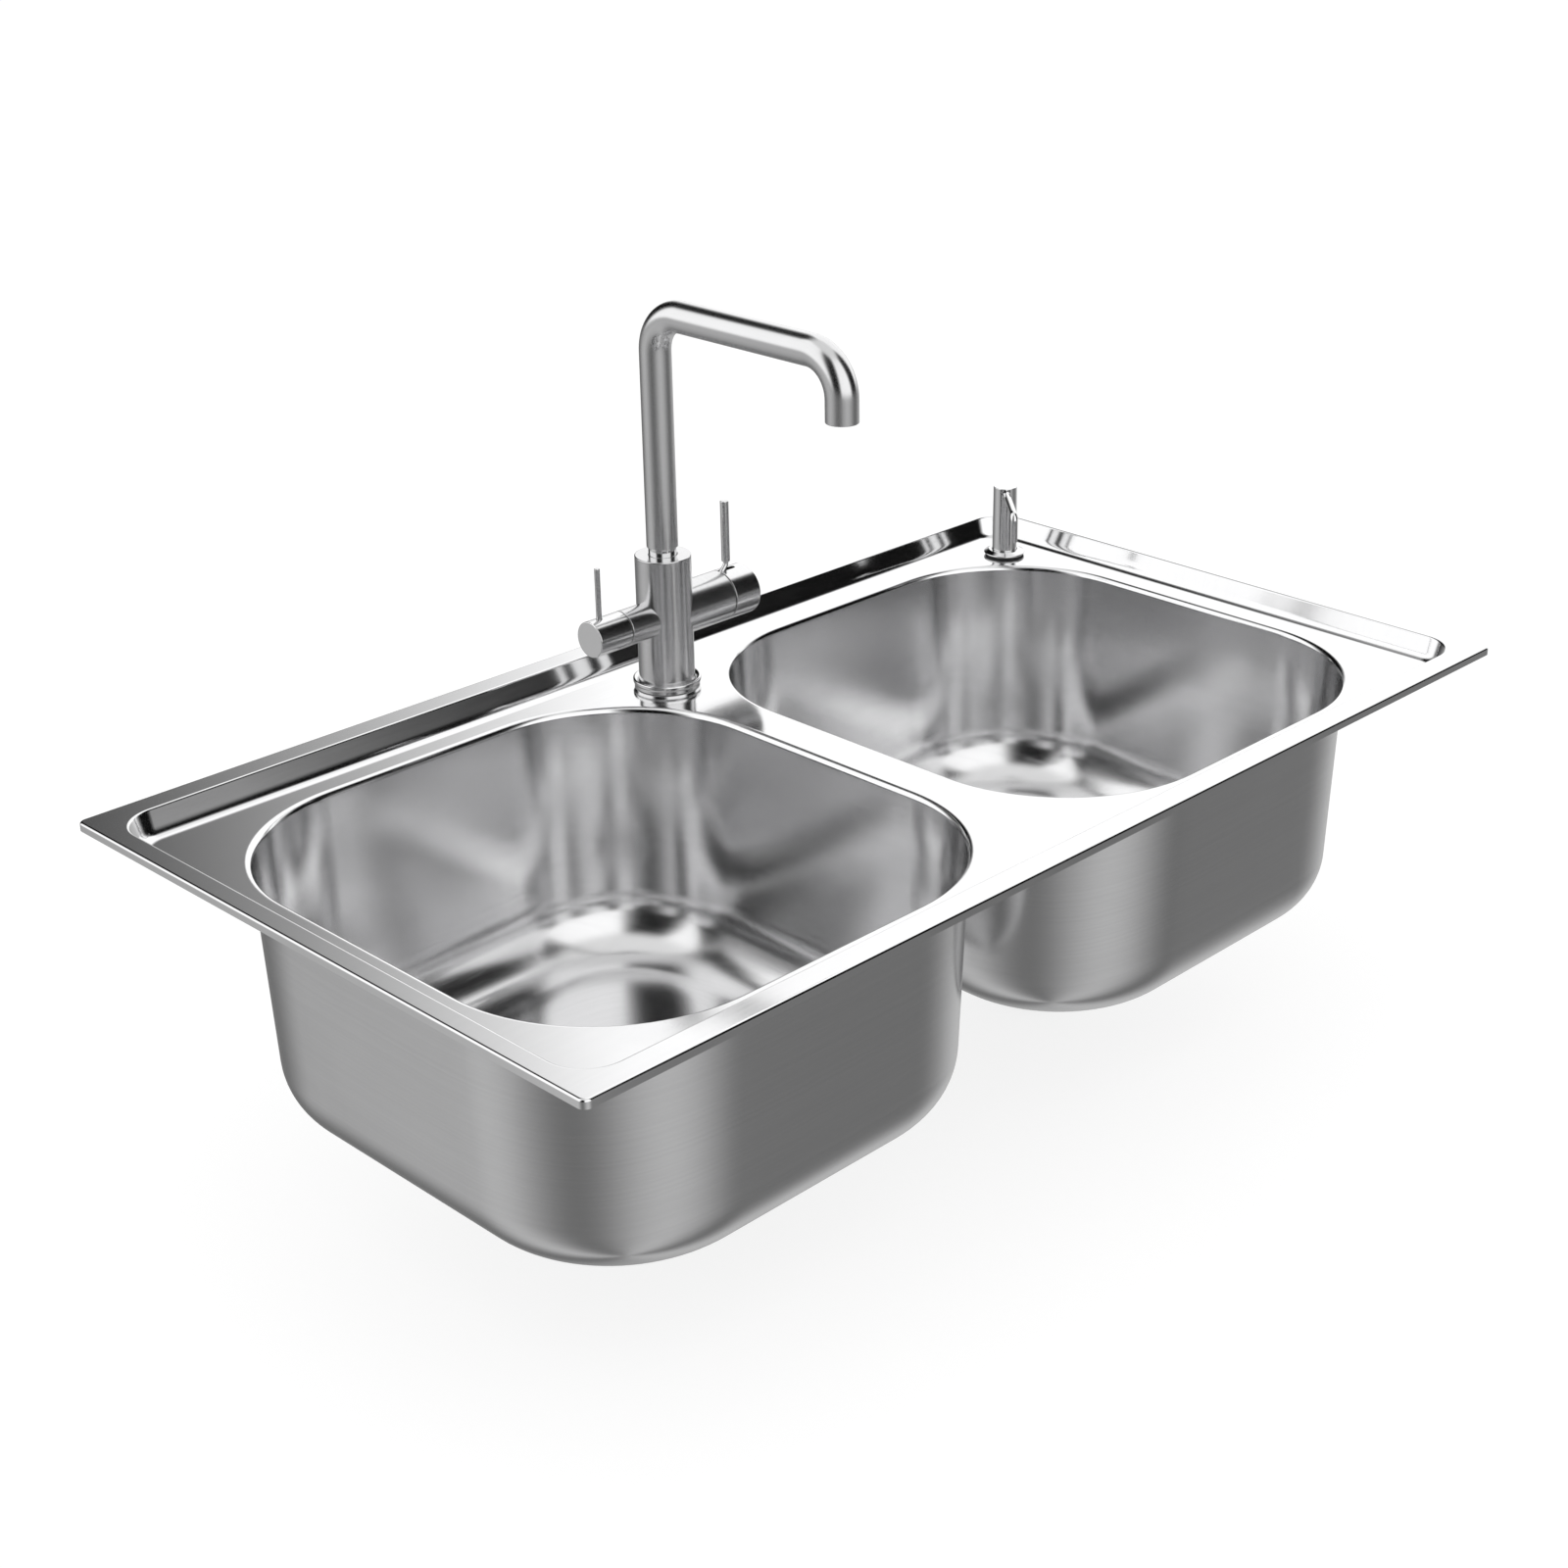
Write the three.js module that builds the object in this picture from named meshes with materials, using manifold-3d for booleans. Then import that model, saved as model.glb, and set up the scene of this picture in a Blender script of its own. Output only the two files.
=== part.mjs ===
// Double bowl kitchen sink with a three-way tap and a soap dispenser.
//
// Units are millimetres and +Z is up. X runs along the sink, from the left bowl to the right one, and
// Y runs from the front edge to the back. The origin is on the worktop's plane, under the centre of
// the rim, so everything below Z = 0 hangs in the worktop's cut-out.

import * as THREE from 'three';
import Module from 'manifold-3d';
import { mergeVertices } from 'three/addons/utils/BufferGeometryUtils.js';

const wasm = await Module();
wasm.setup();

// ---------------------------------------------------------------- driving dimensions

// Clearance between pieces that touch, and between a turning or sliding piece and its bore.
const SEAT_GAP = 0.3;
const RUNNING_GAP = 0.3;

// Deck and rim
const SINK_LENGTH = 800;
const SINK_WIDTH = 450;
const SHEET = 1;
const LIP_HEIGHT = 5.3;
const LIP_ROLL = 1.6;
const RIM_CORNER_RADIUS = 5;
const RIM_AT_ENDS = 12;
const RIM_AT_FRONT = 15.5;
const RECESS_DROP = 16;
const RECESS_CORNER_RADIUS = 26;
const RECESS_ROLL = 2;
const RECESS_FILLET = 3.5;
const RECESS_DRAFT = THREE.MathUtils.degToRad(5);
const LAND = 3;

// Bowls
const BOWL_FROM_END = 35.5;
const BOWL_FROM_FRONT = 39.5;
const BOWL_SPACING = 27;
const BOWL_CORNER_RADIUS = 108;
const BOWL_ROLL = 4;
const BOWL_DEPTH = 169;
const BOWL_DRAFT = THREE.MathUtils.degToRad(2.6);
const BOWL_FILLET = 43;
const FLOOR_FALL = 1.5;

// Seal under the rim
const SEAL_WIDTH = 6;

// Waste outlet under each bowl
const WASTE_HOLE_RADIUS = 44.5;
const WASTE_FLANGE_RADIUS = 55;
const WASTE_FLANGE_THICKNESS = 1.6;
const WASTE_DISH_DEPTH = 2.6;
const WASTE_WALL = 2;
const WASTE_CUP_DEPTH = 34;
const WASTE_CONE_HEIGHT = 13;
const WASTE_NECK_RADIUS = 22.5;
const WASTE_NECK_LENGTH = 13;
const WASTE_WASHER_THICKNESS = 2.5;
const WASTE_NUT_HEIGHT = 9;
const WASTE_NUT_RADIUS = 53;
const WASTE_NUT_LUGS = 6;
const TAIL_RADIUS = 19;
const TAIL_WALL = 2;
const TAIL_LENGTH = 20;
const TAIL_NUT_HEIGHT = 17;
const TAIL_NUT_WALL = 5;
const TAIL_NUT_RIBS = 6;

// Strainer basket
const BASKET_WALL = 1;
const BASKET_DEPTH = 27;
const BASKET_RIM_WIDTH = 4;
const BASKET_TAPER = 4;
const BASKET_HOLE_RADIUS = 3.2;
const BASKET_INNER_HOLES = 4;
const BASKET_OUTER_HOLES = 8;
const BASKET_POST_RADIUS = 3;
const BASKET_KNOB_RADIUS = 9;
const BASKET_KNOB_HEIGHT = 24;
const STOPPER_THICKNESS = 3;

// Tap: places are measured from the deck's top face
const TAP_FROM_BACK = 63.7;
const TAP_HOLE_RADIUS = 17.5;
const TAP_BODY_RADIUS = 18.6;
const TAP_BODY_TOP = 92.1;
const TAP_FLANGE_RADIUS = 22.6;
const TAP_FLANGE_FOOT_RADIUS = 20.8;
const TAP_FLANGE_HEIGHT = 6.4;
const TAP_FLANGE_FLOOR = 2.4;
const TAP_SEAL_THICKNESS = 0.8;
const ARM_HEIGHT = 49.8;
const ARM_GROOVE = 0.8;
const SHELL_WALL = 1.6;

// Tap: mixer side, along +X
const MIXER_ARM_RADIUS = 17.2;
const MIXER_ARM_REACH = 49;
const MIXER_END = 71.6;
const MIXER_CARTRIDGE_RADIUS = 13.6;
const MIXER_CARTRIDGE_LENGTH = 24;
const MIXER_RING_LENGTH = 4;
const MIXER_SLOT_LENGTH = 14.6;
const MIXER_SLOT_WIDTH = 4.4;
const MIXER_LEVER_RADIUS = 2.9;
const MIXER_NECK_RADIUS = 1.8;
const MIXER_BALL_RADIUS = 4;
const MIXER_LEVER_OFFSET = 56;
const MIXER_NECK_OFFSET = 51.6;
const MIXER_LEVER_FOOT = 72.6;
const MIXER_LEVER_TOP = 115.3;

// Tap: filter side, along -X
const FILTER_ARM_RADIUS = 12.1;
const FILTER_ARM_REACH = 37.6;
const FILTER_END = 65;
const FILTER_CARTRIDGE_RADIUS = 8.6;
const FILTER_CARTRIDGE_LENGTH = 20;
const FILTER_SPINDLE_RADIUS = 3.2;
const FILTER_SPINDLE_LENGTH = 14;
const FILTER_LEVER_RADIUS = 1.85;
const FILTER_LEVER_OFFSET = 56.3;
const FILTER_LEVER_TOP = 96.5;

// Tap: spout
const SPOUT_RADIUS = 10.4;
const SPOUT_WALL = 1.2;
const SPOUT_NECK_RADIUS = 9.3;
const SPOUT_NECK_HEIGHT = 5.2;
const SPOUT_STEM_LENGTH = 34;
const SPOUT_ARM_HEIGHT = 255;
const SPOUT_BEND_RADIUS = 26;
const SPOUT_REACH = 166.3;
const SPOUT_DROP = 40;
const ORING_THICKNESS = 1.8;
const LOWER_ORING_FROM_FOOT = 4;
const UPPER_ORING_FROM_FOOT = 16;
const AERATOR_LENGTH = 9;
const AERATOR_HOLE_RADIUS = 1;

// Tap: fixing under the deck
const SHANK_RADIUS = 14;
const SHANK_BORE_RADIUS = 12;
const SHANK_LENGTH = 62;
const SHANK_IN_BODY = 12;
const TAP_WASHER_RADIUS = 23;
const TAP_WASHER_THICKNESS = 3;
const CLAMP_PLATE_RADIUS = 24;
const CLAMP_PLATE_THICKNESS = 2;
const TAP_NUT_RADIUS = 21;
const TAP_NUT_HEIGHT = 9;
const INLET_RADIUS = 4.4;
const INLET_BORE_RADIUS = 3;
const INLET_RING_RADIUS = 6.4;
const INLET_BELOW_DECK = 74;
const INLET_IN_BODY = 8;

// Soap dispenser: heights are measured from the deck's top face
const DISPENSER_FROM_END = 48.5;
const DISPENSER_FROM_BACK = 56;
const DISPENSER_HOLE_RADIUS = 12.6;
const COLLAR_RADIUS = 15.7;
const COLLAR_TOP_RADIUS = 11.8;
const COLLAR_HEIGHT = 4.6;
const COLLAR_SEAL_THICKNESS = 0.8;
const COLLAR_SHANK_RADIUS = 12;
const COLLAR_SHANK_LENGTH = 46;
const HEAD_FOOT_RADIUS = 9.3;
const HEAD_TOP_RADIUS = 8.8;
const HEAD_TOP = 54.2;
const HEAD_FOOT = -1;
const HEAD_SPOUT_RADIUS = 2.8;
const HEAD_SPOUT_BORE_RADIUS = 1.7;
const HEAD_SPOUT_HEIGHT = 50;
const HEAD_SPOUT_REACH = 58;
const HEAD_SPOUT_BEND = 4.5;
const HEAD_SPOUT_OUTLET = 29.5;
const HEAD_SPOUT_TURN = THREE.MathUtils.degToRad(-132.5);
const PUMP_STROKE = 10;
const PUMP_STEM_RADIUS = 2.8;
const PUMP_BARREL_RADIUS = 8;
const PUMP_BARREL_WALL = 1.2;
const PUMP_BARREL_TOP = -19.5;
const PUMP_BARREL_LENGTH = 52;
const PUMP_PISTON_DEPTH = 28;
const SPRING_WIRE = 1;
const SPRING_TURNS = 4.5;
const DISPENSER_NUT_RADIUS = 18;
const DISPENSER_NUT_HEIGHT = 7;
const DISPENSER_WASHER_THICKNESS = 2.5;
const BOTTLE_RADIUS = 20;
const BOTTLE_WALL = 1.2;
const BOTTLE_NECK_LENGTH = 16;
const BOTTLE_LENGTH = 132;
const BOTTLE_OVERLAP = 14;
const DIP_TUBE_RADIUS = 2.6;
const DIP_TUBE_BORE_RADIUS = 1.6;

// Facets
const ROUND = 20;
const ROUND_WASTE = 16;
const ROUND_HIDDEN = 12;
const ROUND_SMALL = 8;
const CORNER_STEPS_RIM = 4;
const CORNER_STEPS_BOWL = 6;

// ---------------------------------------------------------------- worked-out places

const RIM_TOP = LIP_HEIGHT;
const DECK_TOP = RIM_TOP - RECESS_DROP;
const DECK_UNDERSIDE = DECK_TOP - SHEET;
const BOWL_LENGTH = (SINK_LENGTH - BOWL_SPACING) / 2 - BOWL_FROM_END;
const BOWL_WIDTH = SINK_WIDTH - 2 * BOWL_FROM_FRONT;
const BOWL_CENTRE_X = (BOWL_SPACING + BOWL_LENGTH) / 2;
const FLOOR_TOP = DECK_TOP - BOWL_DEPTH;
const SPOUT_OUTLET_HEIGHT = SPOUT_ARM_HEIGHT - SPOUT_DROP;
const WASTE_DISH_RADIUS = WASTE_FLANGE_RADIUS + 1.5;
const WASTE_SEAT = FLOOR_TOP - FLOOR_FALL - WASTE_DISH_DEPTH;
const WASTE_UNDERSIDE = WASTE_SEAT - SHEET;

// ---------------------------------------------------------------- finishes

const finish = (color, roughness, metalness) => (
  new THREE.MeshStandardMaterial({ color, roughness, metalness })
);

const FINISHES = {
  polishedSteel: () => finish(0xd9dadb, 0.16, 1),
  satinSteel: () => finish(0xa9aaab, 0.38, 1),
  brushedSteel: () => finish(0xb4b5b6, 0.32, 1),
  brass: () => finish(0xb8995a, 0.35, 1),
  zinc: () => finish(0x9c9fa2, 0.5, 1),
  blackRubber: () => finish(0x1d1d1f, 0.9, 0),
  greyPlastic: () => finish(0x8d9092, 0.6, 0),
  whitePlastic: () => finish(0xe8e8e6, 0.5, 0),
  ceramic: () => finish(0xe9e6df, 0.4, 0),
};

// ---------------------------------------------------------------- solid helpers

/** Six times the signed volume that a closed indexed geometry encloses. */
function signedVolume(geometry) {
  const { position } = geometry.attributes;
  const index = geometry.index.array;
  const a = new THREE.Vector3();
  const b = new THREE.Vector3();
  const c = new THREE.Vector3();
  let total = 0;
  for (let i = 0; i < index.length; i += 3) {
    a.fromBufferAttribute(position, index[i]);
    b.fromBufferAttribute(position, index[i + 1]);
    c.fromBufferAttribute(position, index[i + 2]);
    total += a.dot(b.cross(c));
  }
  return total;
}

/** Merge a geometry's shared vertices and turn its faces outwards. */
function closed(geometry) {
  const plain = geometry.index ? geometry.clone() : geometry;
  for (const name of Object.keys(plain.attributes)) {
    if (name !== 'position') {
      plain.deleteAttribute(name);
    }
  }
  const merged = mergeVertices(plain, 1e-4);
  const index = Array.from(merged.index.array);
  const kept = [];
  for (let i = 0; i < index.length; i += 3) {
    const [p, q, r] = index.slice(i, i + 3);
    if (p !== q && q !== r && r !== p) {
      kept.push(p, q, r);
    }
  }
  merged.setIndex(kept);
  if (signedVolume(merged) < 0) {
    for (let i = 0; i < kept.length; i += 3) {
      [kept[i], kept[i + 1]] = [kept[i + 1], kept[i]];
    }
    merged.setIndex(kept);
  }
  return merged;
}

/** The manifold solid of a closed geometry. */
function toManifold(geometry) {
  const mesh = closed(geometry);
  const vertProperties = new Float32Array(mesh.attributes.position.array);
  const triVerts = new Uint32Array(mesh.index.array);
  return new wasm.Manifold(new wasm.Mesh({ numProp: 3, vertProperties, triVerts }));
}

/** The geometry of a manifold solid. */
function fromManifold(solid) {
  const mesh = solid.getMesh();
  const geometry = new THREE.BufferGeometry();
  geometry.setAttribute('position', new THREE.BufferAttribute(new Float32Array(mesh.vertProperties), 3));
  geometry.setIndex(Array.from(mesh.triVerts));
  return geometry;
}

/** Join solids into one. */
function join(first, ...others) {
  const sum = others.reduce((total, other) => total.add(toManifold(other)), toManifold(first));
  return fromManifold(sum.asOriginal());
}

/** Cut tools out of a solid. */
function cut(body, ...tools) {
  const rest = tools.reduce((total, tool) => total.subtract(toManifold(tool)), toManifold(body));
  return fromManifold(rest.asOriginal());
}

/** Close a run of equally long rings into a solid: each ring joins the next, and the last the first. */
function loft(rings) {
  const count = rings[0].length;
  const points = rings.flat();
  const index = [];
  for (let i = 0; i < rings.length; i += 1) {
    const here = i * count;
    const next = ((i + 1) % rings.length) * count;
    for (let k = 0; k < count; k += 1) {
      const step = (k + 1) % count;
      index.push(here + k, here + step, next + step, here + k, next + step, next + k);
    }
  }
  const geometry = new THREE.BufferGeometry().setFromPoints(points);
  geometry.setIndex(index);
  return geometry;
}

/** A ring of points on a rounded rectangle about the origin, at one height. */
function roundedRing(halfX, halfY, radius, z, steps) {
  const ring = [];
  for (let corner = 0; corner < 4; corner += 1) {
    const sideX = corner === 0 || corner === 3 ? 1 : -1;
    const sideY = corner < 2 ? 1 : -1;
    for (let step = 0; step <= steps; step += 1) {
      const angle = (corner + step / steps) * Math.PI / 2;
      const x = sideX * (halfX - radius) + radius * Math.cos(angle);
      const y = sideY * (halfY - radius) + radius * Math.sin(angle);
      ring.push(new THREE.Vector3(x, y, z));
    }
  }
  return ring;
}

/** A ring of points on a circle that pairs up with a rounded ring of the same corner steps. */
function circleRing(radius, z, steps) {
  const count = 4 * (steps + 1);
  return Array.from({ length: count }, (_, k) => {
    const angle = (k + 0.5) / count * 2 * Math.PI;
    return new THREE.Vector3(radius * Math.cos(angle), radius * Math.sin(angle), z);
  });
}

/** Angles from one value to another, both ends included. */
function sweep(from, to, steps) {
  return Array.from({ length: steps + 1 }, (_, k) => from + (to - from) * k / steps);
}

/** A solid turned about Z from [radius, height] pairs; a profile off the axis closes on itself. */
function turned(profile, segments = ROUND) {
  const points = profile.map(([r, z]) => new THREE.Vector2(r, z));
  const onAxis = profile[0][0] === 0 && profile[profile.length - 1][0] === 0;
  if (!onAxis) {
    points.push(points[0].clone());
  }
  const geometry = new THREE.LatheGeometry(points, segments);
  geometry.rotateX(Math.PI / 2);
  return geometry;
}

/** A plain ring about Z. */
function washer(inner, outer, bottom, top, segments = ROUND) {
  return turned([[inner, bottom], [outer, bottom], [outer, top], [inner, top]], segments);
}

/** A plain disc or rod about Z. */
function rod(radius, bottom, top, segments = ROUND) {
  return turned([[0, bottom], [radius, bottom], [radius, top], [0, top]], segments);
}

/** Turn a solid made about Z so that its axis points along +X. */
function alongX(geometry) {
  return geometry.rotateY(Math.PI / 2);
}

/** A plate whose outline is a wavy ring: lobes stand out of a round edge. */
function lobedPlate(radius, lobe, count, bore, bottom, top) {
  const shape = new THREE.Shape();
  const points = Array.from({ length: count * 4 }, (_, k) => {
    const angle = k / (count * 4) * 2 * Math.PI;
    const reach = k % 4 < 2 ? radius : radius - lobe;
    return new THREE.Vector2(reach * Math.cos(angle), reach * Math.sin(angle));
  });
  shape.setFromPoints(points);
  const hole = new THREE.Path();
  hole.absarc(0, 0, bore, 0, 2 * Math.PI, true);
  shape.holes.push(hole);
  const options = { depth: top - bottom, bevelEnabled: false, curveSegments: ROUND_WASTE / 2 };
  return new THREE.ExtrudeGeometry(shape, options).translate(0, 0, bottom);
}

/** A round bar along a curve. */
function alongCurve(curve, radius, steps, sides) {
  const shape = new THREE.Shape();
  shape.absarc(0, 0, radius, 0, 2 * Math.PI, false);
  return new THREE.ExtrudeGeometry(shape, { extrudePath: curve, steps, curveSegments: sides / 2 });
}

/** A quarter bend's stations: the lean is the angle of the tube's outward side about X. */
function bendStations(centre, height, radius, from, to, steps) {
  return sweep(from, to, steps).map((lean) => ({
    y: centre + radius * Math.cos(lean),
    z: height + radius * Math.sin(lean),
    lean,
  }));
}

/** A tube through stations in the YZ plane. */
function bentTube(stations, outer, inner, sides) {
  const ring = (station, radius) => sweep(0, 2 * Math.PI, sides).slice(0, sides).map((angle) => {
    const across = radius * Math.cos(angle);
    const y = station.y + across * Math.cos(station.lean);
    const z = station.z + across * Math.sin(station.lean);
    return new THREE.Vector3(radius * Math.sin(angle), y, z);
  });
  const outside = stations.map((station) => ring(station, outer));
  const inside = stations.map((station) => ring(station, inner));
  return loft([...outside, ...inside.reverse()]);
}

/** A named mesh with its finish. */
function piece(name, geometry, finishName) {
  const mesh = new THREE.Mesh(closed(geometry), FINISHES[finishName]());
  mesh.name = name;
  return mesh;
}

/** A named group of pieces at a place. */
function assembly(name, place, ...pieces) {
  const group = new THREE.Group();
  group.name = name;
  group.position.set(...place);
  group.add(...pieces);
  return group;
}

// ---------------------------------------------------------------- sink shell

const rimRing = (inset, z) => roundedRing(
  SINK_LENGTH / 2 - inset,
  SINK_WIDTH / 2 - inset,
  Math.max(RIM_CORNER_RADIUS - inset, 0.5),
  z,
  CORNER_STEPS_RIM,
);

const recessRing = (inset, z) => roundedRing(
  SINK_LENGTH / 2 - RIM_AT_ENDS - inset,
  SINK_WIDTH / 2 - RIM_AT_FRONT - inset,
  RECESS_CORNER_RADIUS - inset,
  z,
  CORNER_STEPS_RIM,
);

const bowlRing = (inset, z) => roundedRing(
  BOWL_LENGTH / 2 - inset,
  BOWL_WIDTH / 2 - inset,
  BOWL_CORNER_RADIUS - inset,
  z,
  CORNER_STEPS_BOWL,
);

// Where the recess wall's fillet meets the flat deck, measured inwards from the recess outline.
const RECESS_WALL_RUN = RECESS_DROP - RECESS_ROLL - RECESS_FILLET;
const RECESS_FLAT_INSET = RECESS_ROLL + RECESS_FILLET + RECESS_WALL_RUN * Math.tan(RECESS_DRAFT);

/** One skin of the rim, from the lip's foot inwards to the flat deck; depth is 0 on top, SHEET below. */
function rimSkin(depth) {
  const quarter = Math.PI / 2;
  const lip = sweep(0, quarter, 1).map((angle) => rimRing(
    LIP_ROLL - (LIP_ROLL - depth) * Math.cos(angle),
    RIM_TOP - LIP_ROLL + (LIP_ROLL - depth) * Math.sin(angle),
  ));
  const roll = sweep(0, quarter - RECESS_DRAFT, 2).map((angle) => recessRing(
    (RECESS_ROLL - depth) * Math.sin(angle),
    RIM_TOP - RECESS_ROLL + (RECESS_ROLL - depth) * Math.cos(angle),
  ));
  const fillet = sweep(RECESS_DRAFT, quarter, 2).map((angle) => recessRing(
    RECESS_FLAT_INSET - (RECESS_FILLET + depth) * Math.cos(angle),
    DECK_TOP + RECESS_FILLET - (RECESS_FILLET + depth) * Math.sin(angle),
  ));
  const land = recessRing(RECESS_FLAT_INSET + LAND, DECK_TOP - depth);
  return [rimRing(depth, 0), ...lip, ...roll, ...fillet, land];
}

/** One skin of the rolled edge round a bowl opening, from the deck down to the weld. */
function rollSkin(depth) {
  const roll = sweep(0, Math.PI / 2, 2).map((angle) => bowlRing(
    (BOWL_ROLL - depth) * Math.sin(angle),
    DECK_TOP - BOWL_ROLL + (BOWL_ROLL - depth) * Math.cos(angle),
  ));
  return [bowlRing(-LAND, DECK_TOP - depth), ...roll];
}

/** The flat sheet between the recess wall and the bowl openings, with its two small holes. */
function deckPlate() {
  const outline = recessRing(RECESS_FLAT_INSET + LAND / 2, 0);
  const shape = new THREE.Shape(outline.map((point) => new THREE.Vector2(point.x, point.y)));
  for (const side of [-1, 1]) {
    const opening = bowlRing(-LAND / 2, 0);
    const points = opening.map((point) => new THREE.Vector2(point.x + side * BOWL_CENTRE_X, point.y));
    shape.holes.push(new THREE.Path(points));
  }
  const holes = [
    [0, SINK_WIDTH / 2 - TAP_FROM_BACK, TAP_HOLE_RADIUS],
    [SINK_LENGTH / 2 - DISPENSER_FROM_END, SINK_WIDTH / 2 - DISPENSER_FROM_BACK, DISPENSER_HOLE_RADIUS],
  ];
  for (const [x, y, radius] of holes) {
    const hole = new THREE.Path();
    hole.absarc(x, y, radius, 0, 2 * Math.PI, true);
    shape.holes.push(hole);
  }
  const options = { depth: SHEET, bevelEnabled: false, curveSegments: ROUND / 2 };
  return new THREE.ExtrudeGeometry(shape, options).translate(0, 0, DECK_UNDERSIDE);
}

/** The pressed deck: rim, recess wall, flat sheet and both rolled openings in one piece. */
function sinkDeck() {
  const rim = loft([...rimSkin(0), ...rimSkin(SHEET).reverse()]);
  const edges = [-1, 1].map((side) => {
    const edge = loft([...rollSkin(0), ...rollSkin(SHEET).reverse()]);
    return edge.translate(side * BOWL_CENTRE_X, 0, 0);
  });
  return join(deckPlate(), rim, ...edges);
}

/** One skin of a bowl, from the weld down the wall, round the fillet and in to the waste hole. */
function bowlSkin(depth) {
  const top = DECK_TOP - BOWL_ROLL - SEAT_GAP;
  const filletTop = FLOOR_TOP + BOWL_FILLET * (1 - Math.sin(BOWL_DRAFT));
  const wallInset = BOWL_ROLL + (top - filletTop) * Math.tan(BOWL_DRAFT);
  const centreInset = wallInset + BOWL_FILLET * Math.cos(BOWL_DRAFT);
  const fillet = sweep(BOWL_DRAFT, Math.PI / 2, 3).map((angle) => bowlRing(
    centreInset - (BOWL_FILLET + depth) * Math.cos(angle),
    FLOOR_TOP + BOWL_FILLET - (BOWL_FILLET + depth) * Math.sin(angle),
  ));
  const floor = FLOOR_TOP - FLOOR_FALL - depth;
  const seat = WASTE_SEAT - depth;
  return [
    bowlRing(BOWL_ROLL - depth, top),
    ...fillet,
    circleRing(WASTE_DISH_RADIUS + 3, floor, CORNER_STEPS_BOWL),
    circleRing(WASTE_DISH_RADIUS, seat, CORNER_STEPS_BOWL),
    circleRing(WASTE_HOLE_RADIUS, seat, CORNER_STEPS_BOWL),
  ];
}

/** One deep-drawn bowl about its own centre line. */
function bowl() {
  return loft([...bowlSkin(0), ...bowlSkin(SHEET).reverse()]);
}

/** The soft seal that fills the rim's hollow and rests on the worktop. */
function rimSeal() {
  const outside = SHEET + SEAT_GAP;
  const top = RIM_TOP - SHEET - SEAT_GAP;
  const ring = (inset, z) => roundedRing(
    SINK_LENGTH / 2 - inset,
    SINK_WIDTH / 2 - inset,
    Math.max(RIM_CORNER_RADIUS - inset, 1),
    z,
    CORNER_STEPS_RIM,
  );
  const inside = outside + SEAL_WIDTH;
  return loft([
    ring(outside, 0),
    ring(outside, top - 0.6),
    ring(outside + 0.6, top),
    ring(inside, top),
    ring(inside, 0),
  ]);
}

// ---------------------------------------------------------------- waste outlets

const WASTE_BODY_RADIUS = WASTE_HOLE_RADIUS - 1;
const WASTE_MOUTH = WASTE_SEAT + SEAT_GAP;
const WASTE_CUP_FLOOR = WASTE_MOUTH - WASTE_CUP_DEPTH;
const WASTE_NECK_TOP = WASTE_CUP_FLOOR - WASTE_CONE_HEIGHT;
const WASTE_FOOT = WASTE_NECK_TOP - WASTE_NECK_LENGTH;
const WASTE_CUP_RADIUS = WASTE_BODY_RADIUS - WASTE_WALL;
const WASTE_NECK_BORE = WASTE_NECK_RADIUS - WASTE_WALL;

/** The strainer's flanged cup, which narrows to a threaded neck. */
function strainerBody() {
  const flangeTop = WASTE_MOUTH + WASTE_FLANGE_THICKNESS;
  return turned([
    [WASTE_FLANGE_RADIUS, WASTE_MOUTH],
    [WASTE_FLANGE_RADIUS - 4, flangeTop],
    [WASTE_BODY_RADIUS, flangeTop],
    [WASTE_CUP_RADIUS, flangeTop - 2],
    [WASTE_CUP_RADIUS, WASTE_CUP_FLOOR],
    [WASTE_NECK_BORE, WASTE_NECK_TOP],
    [WASTE_NECK_BORE, WASTE_FOOT],
    [WASTE_NECK_RADIUS, WASTE_FOOT],
    [WASTE_NECK_RADIUS, WASTE_NECK_TOP - 1],
    [WASTE_BODY_RADIUS, WASTE_CUP_FLOOR - 1.5],
    [WASTE_BODY_RADIUS, WASTE_MOUTH],
  ], ROUND_WASTE);
}

const WASTE_WASHER_TOP = WASTE_UNDERSIDE - SEAT_GAP;
const WASTE_NUT_TOP = WASTE_WASHER_TOP - WASTE_WASHER_THICKNESS - SEAT_GAP;
const WASTE_NUT_BORE = WASTE_BODY_RADIUS + SEAT_GAP;

/** The slip joint's flanged pipe, held against the neck's foot. */
function tailpiece() {
  const top = WASTE_FOOT - SEAT_GAP;
  const bore = TAIL_RADIUS - TAIL_WALL;
  return turned([
    [bore, top],
    [WASTE_NECK_RADIUS, top],
    [WASTE_NECK_RADIUS, top - 2],
    [TAIL_RADIUS, top - 2],
    [TAIL_RADIUS, top - TAIL_LENGTH],
    [bore, top - TAIL_LENGTH],
  ], ROUND_WASTE);
}

/** The ribbed nut that draws the tailpiece up to the neck. */
function tailpieceNut() {
  const top = WASTE_NECK_TOP - 2;
  const bottom = top - TAIL_NUT_HEIGHT;
  const ledge = WASTE_FOOT - 2 - 2 * SEAT_GAP;
  const bore = WASTE_NECK_RADIUS + SEAT_GAP;
  const outside = bore + TAIL_NUT_WALL;
  const body = lobedPlate(outside, 1.6, TAIL_NUT_RIBS, bore, ledge, top);
  const lower = lobedPlate(outside, 1.6, TAIL_NUT_RIBS, TAIL_RADIUS + SEAT_GAP, bottom, ledge);
  return join(body, lower);
}

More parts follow.
